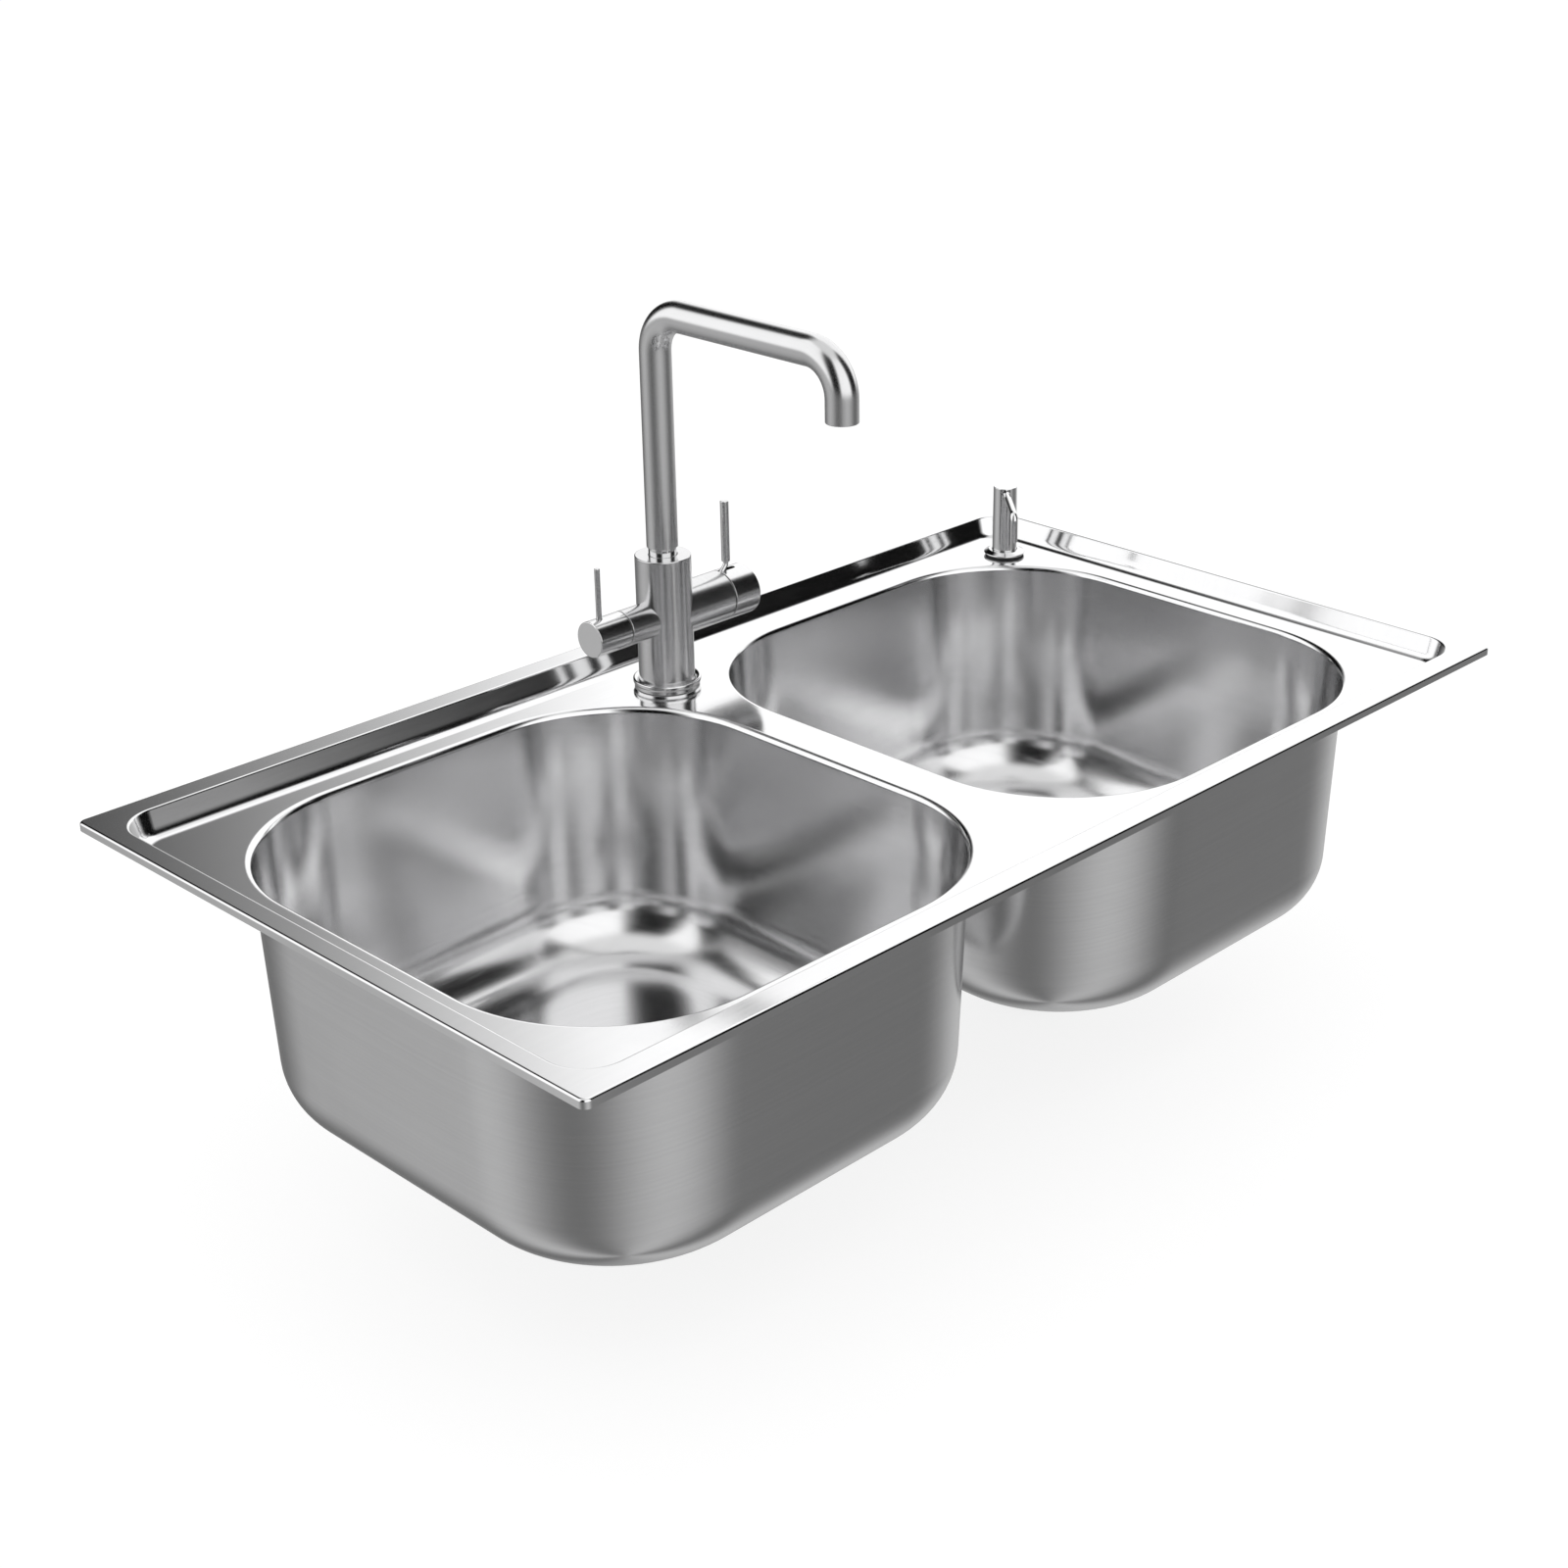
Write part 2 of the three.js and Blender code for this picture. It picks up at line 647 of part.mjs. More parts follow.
const BASKET_TOP_RADIUS = WASTE_CUP_RADIUS - RUNNING_GAP;
const BASKET_RIM = WASTE_MOUTH + WASTE_FLANGE_THICKNESS + SEAT_GAP;
const BASKET_FLOOR = BASKET_RIM - BASKET_DEPTH;
const BASKET_FLOOR_RADIUS = BASKET_TOP_RADIUS - BASKET_TAPER;

/** The pressed basket: a rim that rests on the flange, a tapered wall and a floor with two hole rings. */
function basket() {
  const inner = BASKET_FLOOR_RADIUS - BASKET_WALL;
  const rimRadius = BASKET_TOP_RADIUS + BASKET_RIM_WIDTH;
  const shell = turned([
    [BASKET_POST_RADIUS + SEAT_GAP, BASKET_FLOOR],
    [BASKET_FLOOR_RADIUS, BASKET_FLOOR],
    [BASKET_TOP_RADIUS, BASKET_RIM - 4],
    [BASKET_TOP_RADIUS, BASKET_RIM],
    [rimRadius, BASKET_RIM],
    [rimRadius, BASKET_RIM + BASKET_WALL],
    [BASKET_TOP_RADIUS - BASKET_WALL, BASKET_RIM + BASKET_WALL],
    [BASKET_TOP_RADIUS - BASKET_WALL, BASKET_RIM - 4],
    [inner, BASKET_FLOOR + BASKET_WALL],
    [BASKET_POST_RADIUS + SEAT_GAP, BASKET_FLOOR + BASKET_WALL],
  ], ROUND_WASTE);
  const rings = [
    { count: BASKET_INNER_HOLES, radius: inner * 0.5 },
    { count: BASKET_OUTER_HOLES, radius: inner * 0.8 },
  ];
  const drills = rings.flatMap(({ count, radius }) => Array.from({ length: count }, (_, k) => {
    const angle = k / count * 2 * Math.PI;
    const drill = rod(BASKET_HOLE_RADIUS, BASKET_FLOOR - 1, BASKET_FLOOR + BASKET_WALL + 1, 6);
    return drill.translate(radius * Math.cos(angle), radius * Math.sin(angle), 0);
  }));
  return cut(shell, ...drills);
}

const STOPPER_TOP = BASKET_FLOOR - SEAT_GAP;

/** The knob and post by which the basket is lifted; the post carries the stopper below. */
function basketKnob() {
  const shoulder = BASKET_FLOOR + BASKET_WALL + SEAT_GAP;
  const top = BASKET_FLOOR + BASKET_KNOB_HEIGHT;
  const head = BASKET_POST_RADIUS + 2.5;
  return turned([
    [0, STOPPER_TOP - STOPPER_THICKNESS - SEAT_GAP - 2],
    [head, STOPPER_TOP - STOPPER_THICKNESS - SEAT_GAP - 2],
    [head, STOPPER_TOP - STOPPER_THICKNESS - SEAT_GAP],
    [BASKET_POST_RADIUS, STOPPER_TOP - STOPPER_THICKNESS - SEAT_GAP],
    [BASKET_POST_RADIUS, shoulder],
    [head, shoulder],
    [BASKET_POST_RADIUS, shoulder + 4],
    [BASKET_POST_RADIUS, top - 7],
    [BASKET_KNOB_RADIUS, top - 3],
    [BASKET_KNOB_RADIUS - 1, top],
    [0, top],
  ], ROUND_SMALL);
}

/** The soft disc under the basket. */
function basketStopper() {
  const lip = BASKET_FLOOR_RADIUS - 6;
  return turned([
    [BASKET_POST_RADIUS + SEAT_GAP, STOPPER_TOP - STOPPER_THICKNESS],
    [lip - 3, STOPPER_TOP - STOPPER_THICKNESS],
    [lip, STOPPER_TOP - 1],
    [lip, STOPPER_TOP],
    [BASKET_POST_RADIUS + SEAT_GAP, STOPPER_TOP],
  ], ROUND_WASTE);
}

/** Everything that hangs in and under one bowl's waste hole. */
function wasteOutlet(side, x) {
  const washerBottom = WASTE_WASHER_TOP - WASTE_WASHER_THICKNESS;
  const nutBottom = WASTE_NUT_TOP - WASTE_NUT_HEIGHT;
  const seal = washer(WASTE_NUT_BORE, WASTE_NUT_RADIUS, washerBottom, WASTE_WASHER_TOP, ROUND_WASTE);
  const nut = lobedPlate(WASTE_NUT_RADIUS, 4, WASTE_NUT_LUGS, WASTE_NUT_BORE, nutBottom, WASTE_NUT_TOP);
  return assembly(`${side}_waste`, [x, 0, 0],
    piece(`${side}_strainer_body`, strainerBody(), 'polishedSteel'),
    piece(`${side}_strainer_washer`, seal, 'blackRubber'),
    piece(`${side}_strainer_locknut`, nut, 'zinc'),
    piece(`${side}_tailpiece`, tailpiece(), 'greyPlastic'),
    piece(`${side}_tailpiece_nut`, tailpieceNut(), 'greyPlastic'),
    piece(`${side}_basket`, basket(), 'polishedSteel'),
    piece(`${side}_basket_knob`, basketKnob(), 'polishedSteel'),
    piece(`${side}_basket_stopper`, basketStopper(), 'blackRubber'));
}

// ---------------------------------------------------------------- tap

const TAP_BODY_FOOT = TAP_FLANGE_FLOOR + SEAT_GAP;
const MIXER_BORE_RADIUS = MIXER_CARTRIDGE_RADIUS + RUNNING_GAP;
const FILTER_BORE_RADIUS = FILTER_CARTRIDGE_RADIUS + RUNNING_GAP;
const STEM_BORE_RADIUS = SPOUT_NECK_RADIUS + RUNNING_GAP;
const MIXER_BORE_FLOOR = MIXER_ARM_REACH - MIXER_CARTRIDGE_LENGTH - MIXER_RING_LENGTH - 2 * SEAT_GAP;
const FILTER_BORE_FLOOR = FILTER_ARM_REACH - FILTER_CARTRIDGE_LENGTH - SEAT_GAP;
const WATERWAY_RADIUS = 3;

/** The flared ring that hides the deck hole. */
function tapBaseFlange() {
  const bottom = 2 * SEAT_GAP + TAP_SEAL_THICKNESS;
  const inner = TAP_BODY_RADIUS + SEAT_GAP;
  return turned([
    [SHANK_RADIUS + SEAT_GAP, bottom],
    [TAP_FLANGE_FOOT_RADIUS, bottom],
    [TAP_FLANGE_FOOT_RADIUS + 0.3, TAP_FLANGE_HEIGHT * 0.45],
    [TAP_FLANGE_RADIUS, TAP_FLANGE_HEIGHT - 1.4],
    [TAP_FLANGE_RADIUS - 0.4, TAP_FLANGE_HEIGHT],
    [TAP_FLANGE_RADIUS - 1.2, TAP_FLANGE_HEIGHT - 0.3],
    [inner, TAP_FLANGE_HEIGHT - 2.2],
    [inner, TAP_FLANGE_FLOOR],
    [SHANK_RADIUS + SEAT_GAP, TAP_FLANGE_FLOOR],
  ], ROUND);
}

/** The body: a column with one arm for the mixer and one for the filter tap, bored for what it holds. */
function tapBody() {
  const column = turned([
    [0, TAP_BODY_FOOT],
    [TAP_BODY_RADIUS, TAP_BODY_FOOT],
    [TAP_BODY_RADIUS, TAP_BODY_TOP - 0.6],
    [TAP_BODY_RADIUS - 0.6, TAP_BODY_TOP],
    [0, TAP_BODY_TOP],
  ]);
  const mixerArm = alongX(rod(MIXER_ARM_RADIUS, 0, MIXER_ARM_REACH)).translate(0, 0, ARM_HEIGHT);
  const filterArm = alongX(rod(FILTER_ARM_RADIUS, -FILTER_ARM_REACH, 0)).translate(0, 0, ARM_HEIGHT);
  const mixerBore = alongX(rod(MIXER_BORE_RADIUS, MIXER_BORE_FLOOR, MIXER_ARM_REACH + 1, ROUND_HIDDEN));
  const filterBore = alongX(rod(FILTER_BORE_RADIUS, -FILTER_ARM_REACH - 1, -FILTER_BORE_FLOOR, ROUND_HIDDEN));
  const waterway = alongX(rod(WATERWAY_RADIUS, -FILTER_BORE_FLOOR - 1, MIXER_BORE_FLOOR + 1, 8));
  const stemBore = rod(STEM_BORE_RADIUS, TAP_BODY_TOP - SPOUT_STEM_LENGTH, TAP_BODY_TOP + 1, ROUND);
  const riser = rod(WATERWAY_RADIUS + 1, ARM_HEIGHT, TAP_BODY_TOP - SPOUT_STEM_LENGTH + 1, 8);
  const shankSeat = TAP_BODY_FOOT + SHANK_IN_BODY;
  const shankBore = rod(SHANK_RADIUS + SEAT_GAP, TAP_BODY_FOOT - 1, shankSeat, ROUND_HIDDEN);
  const inletTop = shankSeat + INLET_IN_BODY + SEAT_GAP;
  const inletBores = inletPlaces().map(([x, y]) => (
    rod(INLET_RADIUS + SEAT_GAP, shankSeat - 1, inletTop, ROUND_SMALL).translate(x, y, 0)
  ));
  mixerBore.translate(0, 0, ARM_HEIGHT);
  filterBore.translate(0, 0, ARM_HEIGHT);
  waterway.translate(0, 0, ARM_HEIGHT);
  const outside = join(column, mixerArm, filterArm);
  return cut(outside, mixerBore, filterBore, waterway, stemBore, riser, shankBore, ...inletBores);
}

/** Centres of the three inlets round the shank's axis. */
function inletPlaces() {
  return [90, 210, 330].map((degrees) => {
    const angle = THREE.MathUtils.degToRad(degrees);
    return [INLET_RING_RADIUS * Math.cos(angle), INLET_RING_RADIUS * Math.sin(angle)];
  });
}

/** The swivelling stem: a neck that shows above the body and a spigot with two O-ring grooves. */
function spoutStem() {
  const foot = TAP_BODY_TOP - SPOUT_STEM_LENGTH + SEAT_GAP + 1;
  const bore = SPOUT_RADIUS - SPOUT_WALL - 2.2;
  const groove = SPOUT_NECK_RADIUS - ORING_THICKNESS;
  const lower = foot + LOWER_ORING_FROM_FOOT;
  const upper = foot + UPPER_ORING_FROM_FOOT;
  const top = TAP_BODY_TOP + SPOUT_NECK_HEIGHT;
  const spigot = SPOUT_RADIUS - SPOUT_WALL - SEAT_GAP;
  return turned([
    [bore, foot],
    [SPOUT_NECK_RADIUS, foot],
    [SPOUT_NECK_RADIUS, lower - ORING_THICKNESS / 2 - SEAT_GAP],
    [groove, lower - ORING_THICKNESS / 2 - SEAT_GAP],
    [groove, lower + ORING_THICKNESS / 2 + SEAT_GAP],
    [SPOUT_NECK_RADIUS, lower + ORING_THICKNESS / 2 + SEAT_GAP],
    [SPOUT_NECK_RADIUS, upper - ORING_THICKNESS / 2 - SEAT_GAP],
    [groove, upper - ORING_THICKNESS / 2 - SEAT_GAP],
    [groove, upper + ORING_THICKNESS / 2 + SEAT_GAP],
    [SPOUT_NECK_RADIUS, upper + ORING_THICKNESS / 2 + SEAT_GAP],
    [SPOUT_NECK_RADIUS, top],
    [spigot, top],
    [spigot, top + 10],
    [bore, top + 10],
  ], ROUND_HIDDEN);
}

/** One O-ring of the stem, at a height above the stem's foot. */
function spoutOring(above) {
  const centre = TAP_BODY_TOP - SPOUT_STEM_LENGTH + SEAT_GAP + 1 + above;
  const inner = SPOUT_NECK_RADIUS - ORING_THICKNESS + 0.1;
  const outer = STEM_BORE_RADIUS - 0.15;
  const half = (outer - inner) / 2;
  const profile = sweep(0, 2 * Math.PI, 5).slice(0, 5).map((angle) => [
    inner + half + half * Math.cos(angle),
    centre + half * Math.sin(angle),
  ]);
  return turned(profile, ROUND_HIDDEN);
}

/** The bent spout tube: riser, quarter bend, arm, quarter bend and outlet. */
function spoutTube() {
  const bendHeight = SPOUT_ARM_HEIGHT - SPOUT_BEND_RADIUS;
  const quarter = Math.PI / 2;
  const back = -SPOUT_BEND_RADIUS;
  const front = -SPOUT_REACH + SPOUT_BEND_RADIUS;
  return bentTube([
    { y: 0, z: TAP_BODY_TOP + SPOUT_NECK_HEIGHT + SEAT_GAP, lean: 0 },
    ...bendStations(back, bendHeight, SPOUT_BEND_RADIUS, 0, quarter, 5),
    ...bendStations(front, bendHeight, SPOUT_BEND_RADIUS, quarter, 2 * quarter, 5),
    { y: -SPOUT_REACH, z: SPOUT_OUTLET_HEIGHT, lean: 2 * quarter },
  ], SPOUT_RADIUS, SPOUT_RADIUS - SPOUT_WALL, ROUND_HIDDEN);
}

/** The aerator in the outlet: a screwed ring closed by a plate with small holes. */
function aerator() {
  const outer = SPOUT_RADIUS - SPOUT_WALL - SEAT_GAP;
  const bottom = SPOUT_OUTLET_HEIGHT + 0.6;
  const ring = turned([
    [0, bottom + 2],
    [outer - 1.8, bottom + 2],
    [outer - 1.2, bottom],
    [outer, bottom],
    [outer, bottom + AERATOR_LENGTH],
    [outer - 1.8, bottom + AERATOR_LENGTH],
    [outer - 1.8, bottom + 4],
    [0, bottom + 4],
  ], ROUND_HIDDEN);
  const holes = [0, 1, 2, 3].map((k) => {
    const angle = k / 4 * 2 * Math.PI;
    const hole = rod(AERATOR_HOLE_RADIUS, bottom + 1, bottom + 5, 6);
    return hole.translate(4 * Math.cos(angle), 4 * Math.sin(angle), 0);
  });
  return cut(ring, ...holes);
}

const MIXER_CARTRIDGE_END = MIXER_BORE_FLOOR + SEAT_GAP + MIXER_CARTRIDGE_LENGTH;
const MIXER_CAP_START = MIXER_ARM_REACH + ARM_GROOVE;

/** The mixer cartridge: a housing with a socket for the lever's foot. */
function mixerCartridge() {
  const start = MIXER_BORE_FLOOR + SEAT_GAP;
  return alongX(turned([
    [0, start],
    [MIXER_CARTRIDGE_RADIUS, start],
    [MIXER_CARTRIDGE_RADIUS, MIXER_CARTRIDGE_END - 6],
    [MIXER_CARTRIDGE_RADIUS - 3, MIXER_CARTRIDGE_END - 6],
    [MIXER_CARTRIDGE_RADIUS - 3, MIXER_CARTRIDGE_END],
    [MIXER_BALL_RADIUS, MIXER_CARTRIDGE_END],
    [MIXER_BALL_RADIUS, MIXER_NECK_OFFSET - MIXER_BALL_RADIUS - RUNNING_GAP],
    [0, MIXER_NECK_OFFSET - MIXER_BALL_RADIUS - RUNNING_GAP],
  ], ROUND_HIDDEN));
}

/** The brass ring that screws the cartridge home. */
function mixerRingNut() {
  const start = MIXER_CARTRIDGE_END - 6 + SEAT_GAP;
  const inner = MIXER_CARTRIDGE_RADIUS - 3 + SEAT_GAP;
  return alongX(washer(inner, MIXER_CARTRIDGE_RADIUS, start, MIXER_ARM_REACH - SEAT_GAP, ROUND_HIDDEN));
}

/** The mixer's turning cap: a thin cup with a slot at its edge in which the lever tips. */
function mixerCap() {
  const inner = MIXER_ARM_RADIUS - SHELL_WALL;
  const cup = alongX(turned([
    [0, MIXER_END - SHELL_WALL],
    [inner, MIXER_END - SHELL_WALL],
    [inner, MIXER_CAP_START],
    [MIXER_ARM_RADIUS, MIXER_CAP_START],
    [MIXER_ARM_RADIUS, MIXER_END - 0.6],
    [MIXER_ARM_RADIUS - 0.6, MIXER_END],
    [0, MIXER_END],
  ]));
  const overrun = SHELL_WALL;
  const slot = new THREE.BoxGeometry(MIXER_SLOT_LENGTH + overrun, MIXER_SLOT_WIDTH, 6 * SHELL_WALL);
  slot.translate(MIXER_CAP_START + (MIXER_SLOT_LENGTH - overrun) / 2, 0, MIXER_ARM_RADIUS);
  return cut(cup, slot);
}

/** The mixer lever: a ball foot, a thin neck that comes out of the slot, and a thicker pin. */
function mixerLever() {
  const neck = new THREE.CatmullRomCurve3([
    new THREE.Vector3(MIXER_NECK_OFFSET, 0, ARM_HEIGHT),
    new THREE.Vector3(MIXER_NECK_OFFSET, 0, ARM_HEIGHT + MIXER_ARM_RADIUS - 2),
    new THREE.Vector3(MIXER_LEVER_OFFSET, 0, MIXER_LEVER_FOOT - 2),
    new THREE.Vector3(MIXER_LEVER_OFFSET, 0, MIXER_LEVER_FOOT + 2),
  ], false, 'catmullrom', 0.5);
  const pin = turned([
    [0, MIXER_LEVER_FOOT],
    [MIXER_LEVER_RADIUS - 0.4, MIXER_LEVER_FOOT],
    [MIXER_LEVER_RADIUS, MIXER_LEVER_FOOT + 0.4],
    [MIXER_LEVER_RADIUS, MIXER_LEVER_TOP - 0.5],
    [MIXER_LEVER_RADIUS - 0.5, MIXER_LEVER_TOP],
    [0, MIXER_LEVER_TOP],
  ], ROUND_SMALL).translate(MIXER_LEVER_OFFSET, 0, 0);
  const foot = new THREE.SphereGeometry(MIXER_BALL_RADIUS, ROUND_SMALL, 6);
  foot.translate(MIXER_NECK_OFFSET, 0, ARM_HEIGHT);
  return join(pin, alongCurve(neck, MIXER_NECK_RADIUS, 6, 6), foot);
}

/** The filter tap's quarter-turn valve. */
function filterCartridge() {
  const start = FILTER_BORE_FLOOR + SEAT_GAP;
  const end = start + FILTER_CARTRIDGE_LENGTH - SEAT_GAP;
  const bore = FILTER_SPINDLE_RADIUS + RUNNING_GAP;
  return alongX(turned([
    [0, -start],
    [FILTER_CARTRIDGE_RADIUS, -start],
    [FILTER_CARTRIDGE_RADIUS, -end + 0.4],
    [bore, -end + 0.4],
    [bore, -end + 8],
    [0, -end + 8],
  ], ROUND_HIDDEN));
}

/** The spindle that the filter cap turns. */
function filterSpindle() {
  const end = FILTER_BORE_FLOOR + FILTER_CARTRIDGE_LENGTH;
  return alongX(rod(FILTER_SPINDLE_RADIUS, -end - FILTER_SPINDLE_LENGTH, -end + 7.5, 8));
}

const FILTER_CAP_START = FILTER_ARM_REACH + ARM_GROOVE;

/** The filter tap's cap: a cup whose boss takes the spindle, drilled for the lever. */
function filterCap() {
  const inner = FILTER_ARM_RADIUS - SHELL_WALL;
  const socket = FILTER_SPINDLE_RADIUS + SEAT_GAP;
  const spindleEnd = FILTER_BORE_FLOOR + FILTER_CARTRIDGE_LENGTH + FILTER_SPINDLE_LENGTH + SEAT_GAP;
  const cup = alongX(turned([
    [0, -FILTER_END],
    [FILTER_ARM_RADIUS - 0.5, -FILTER_END],
    [FILTER_ARM_RADIUS, -FILTER_END + 0.5],
    [FILTER_ARM_RADIUS, -FILTER_CAP_START],
    [inner, -FILTER_CAP_START],
    [inner, -FILTER_CAP_START - 6],
    [socket, -FILTER_CAP_START - 6],
    [socket, -spindleEnd],
    [0, -spindleEnd],
  ], ROUND));
  const drill = rod(FILTER_LEVER_RADIUS + SEAT_GAP, 5, FILTER_ARM_RADIUS + 2, ROUND_SMALL);
  return cut(cup, drill.translate(-FILTER_LEVER_OFFSET, 0, 0)).translate(0, 0, ARM_HEIGHT);
}

/** The filter tap's thin lever, screwed into its cap. */
function filterLever() {
  return turned([
    [0, ARM_HEIGHT + 5 + SEAT_GAP],
    [FILTER_LEVER_RADIUS, ARM_HEIGHT + 5 + SEAT_GAP],
    [FILTER_LEVER_RADIUS, FILTER_LEVER_TOP - 0.4],
    [FILTER_LEVER_RADIUS - 0.4, FILTER_LEVER_TOP],
    [0, FILTER_LEVER_TOP],
  ], ROUND_SMALL).translate(-FILTER_LEVER_OFFSET, 0, 0);
}

/** A hexagonal nut about Z. */
function hexNut(radius, bore, bottom, top, sides) {
  const shape = new THREE.Shape(sweep(0, 2 * Math.PI, 6).slice(0, 6).map((angle) => new THREE.Vector2(
    radius * Math.cos(angle),
    radius * Math.sin(angle),
  )));
  const hole = new THREE.Path();
  hole.absarc(0, 0, bore, 0, 2 * Math.PI, true);
  shape.holes.push(hole);
  const options = { depth: top - bottom, bevelEnabled: false, curveSegments: sides / 2 };
  return new THREE.ExtrudeGeometry(shape, options).translate(0, 0, bottom);
}

const TAP_WASHER_TOP = -SHEET - SEAT_GAP;
const CLAMP_PLATE_TOP = TAP_WASHER_TOP - TAP_WASHER_THICKNESS - SEAT_GAP;
const TAP_NUT_TOP = CLAMP_PLATE_TOP - CLAMP_PLATE_THICKNESS - SEAT_GAP;

/** The horseshoe plate that the nut presses up. */
function clampPlate() {
  const bore = SHANK_RADIUS + SEAT_GAP;
  const bottom = CLAMP_PLATE_TOP - CLAMP_PLATE_THICKNESS;
  const disc = washer(bore, CLAMP_PLATE_RADIUS, bottom, CLAMP_PLATE_TOP, ROUND_HIDDEN);
  const mouth = new THREE.BoxGeometry(2 * bore, CLAMP_PLATE_RADIUS + 2, CLAMP_PLATE_THICKNESS + 2);
  mouth.translate(0, (CLAMP_PLATE_RADIUS + 2) / 2, CLAMP_PLATE_TOP - CLAMP_PLATE_THICKNESS / 2);
  return cut(disc, mouth);
}

/** One inlet's tail, screwed into the body and ending below the shank. */
function inletTail() {
  const top = TAP_BODY_FOOT + SHANK_IN_BODY + INLET_IN_BODY;
  return turned([
    [INLET_BORE_RADIUS, -INLET_BELOW_DECK],
    [INLET_RADIUS, -INLET_BELOW_DECK],
    [INLET_RADIUS, top],
    [INLET_BORE_RADIUS, top],
  ], ROUND_SMALL);
}

/** The whole tap about its own axis, standing on the deck's top face. */
function tap() {
  const sealTop = SEAT_GAP + TAP_SEAL_THICKNESS;
  const seal = washer(TAP_HOLE_RADIUS + 0.5, TAP_FLANGE_FOOT_RADIUS, SEAT_GAP, sealTop, ROUND_WASTE);
  const shankTop = TAP_BODY_FOOT + SHANK_IN_BODY - SEAT_GAP;
  const shank = washer(SHANK_BORE_RADIUS, SHANK_RADIUS, -SHANK_LENGTH, shankTop, ROUND_HIDDEN);
  const washerBottom = TAP_WASHER_TOP - TAP_WASHER_THICKNESS;
  const bore = SHANK_RADIUS + SEAT_GAP;
  const softWasher = washer(bore, TAP_WASHER_RADIUS, washerBottom, TAP_WASHER_TOP, ROUND_HIDDEN);
  const nut = hexNut(TAP_NUT_RADIUS, bore, TAP_NUT_TOP - TAP_NUT_HEIGHT, TAP_NUT_TOP, ROUND_HIDDEN);
  const inlets = ['cold', 'hot', 'filter'].map((name, k) => {
    const [x, y] = inletPlaces()[k];
    return piece(`${name}_inlet`, inletTail().translate(x, y, 0), 'brass');
  });
  const armParts = assembly('tap_mixer_internals', [0, 0, ARM_HEIGHT],
    piece('mixer_cartridge', mixerCartridge(), 'whitePlastic'),
    piece('mixer_ring_nut', mixerRingNut(), 'brass'),
    piece('mixer_cap', mixerCap(), 'polishedSteel'),
    piece('filter_cartridge', filterCartridge(), 'brass'),
    piece('filter_spindle', filterSpindle(), 'brass'));
  return assembly('tap', [0, SINK_WIDTH / 2 - TAP_FROM_BACK, DECK_TOP],
    piece('tap_base_seal', seal, 'blackRubber'),
    piece('tap_base_flange', tapBaseFlange(), 'polishedSteel'),
    piece('tap_body', tapBody(), 'brushedSteel'),
    piece('spout_stem', spoutStem(), 'polishedSteel'),
    piece('spout_lower_oring', spoutOring(LOWER_ORING_FROM_FOOT), 'blackRubber'),
    piece('spout_upper_oring', spoutOring(UPPER_ORING_FROM_FOOT), 'blackRubber'),
    piece('spout_tube', spoutTube(), 'brushedSteel'),
    piece('aerator', aerator(), 'polishedSteel'),
    armParts,
    piece('mixer_lever', mixerLever(), 'brushedSteel'),
    piece('filter_cap', filterCap(), 'polishedSteel'),
    piece('filter_lever', filterLever(), 'brushedSteel'),
    piece('tap_shank', shank, 'brass'),
    piece('tap_washer', softWasher, 'blackRubber'),
    piece('tap_clamp_plate', clampPlate(), 'zinc'),
    piece('tap_nut', nut, 'brass'),
    ...inlets);
}

// ---------------------------------------------------------------- soap dispenser

const COLLAR_BORE_RADIUS = HEAD_FOOT_RADIUS + RUNNING_GAP;
const BARREL_FLANGE_RADIUS = COLLAR_BORE_RADIUS - SEAT_GAP;
const BARREL_TOP = PUMP_BARREL_TOP;
const BARREL_FOOT = BARREL_TOP - PUMP_BARREL_LENGTH;
const BARREL_LEDGE = BARREL_TOP - 2 - SEAT_GAP;

/** The bevelled collar, in one piece with its threaded shank; a ledge in its bore carries the pump. */
function dispenserCollar() {
  const bottom = 2 * SEAT_GAP + COLLAR_SEAL_THICKNESS;
  return turned([
    [COLLAR_BORE_RADIUS, COLLAR_HEIGHT],
    [COLLAR_TOP_RADIUS, COLLAR_HEIGHT],
    [COLLAR_RADIUS, COLLAR_HEIGHT - 2.2],
    [COLLAR_RADIUS - 0.8, bottom],
    [COLLAR_SHANK_RADIUS, bottom],
    [COLLAR_SHANK_RADIUS, -COLLAR_SHANK_LENGTH],
    [PUMP_BARREL_RADIUS + SEAT_GAP, -COLLAR_SHANK_LENGTH],
    [PUMP_BARREL_RADIUS + SEAT_GAP, BARREL_LEDGE],
    [COLLAR_BORE_RADIUS, BARREL_LEDGE],
  ], ROUND);
}

const HEAD_SPOUT_ROOT = HEAD_TOP_RADIUS - 4;

/** The press head: a slightly tapered column with a socket for the stem and one for the spout. */
function pressHead() {
  const socket = PUMP_STEM_RADIUS + RUNNING_GAP;
  const socketTop = HEAD_SPOUT_HEIGHT - HEAD_SPOUT_RADIUS - 1;
  const column = turned([
    [0, socketTop],
    [socket, socketTop],
    [socket, HEAD_FOOT],
    [HEAD_FOOT_RADIUS, HEAD_FOOT],
    [HEAD_TOP_RADIUS, HEAD_TOP - 0.4],
    [HEAD_TOP_RADIUS - 0.4, HEAD_TOP],
    [0, HEAD_TOP],
  ]);
  const bore = alongX(rod(HEAD_SPOUT_RADIUS + SEAT_GAP, HEAD_SPOUT_ROOT, HEAD_FOOT_RADIUS + 2, ROUND_SMALL));
  bore.translate(0, 0, HEAD_SPOUT_HEIGHT);
  return cut(column, bore.rotateZ(HEAD_SPOUT_TURN));
}

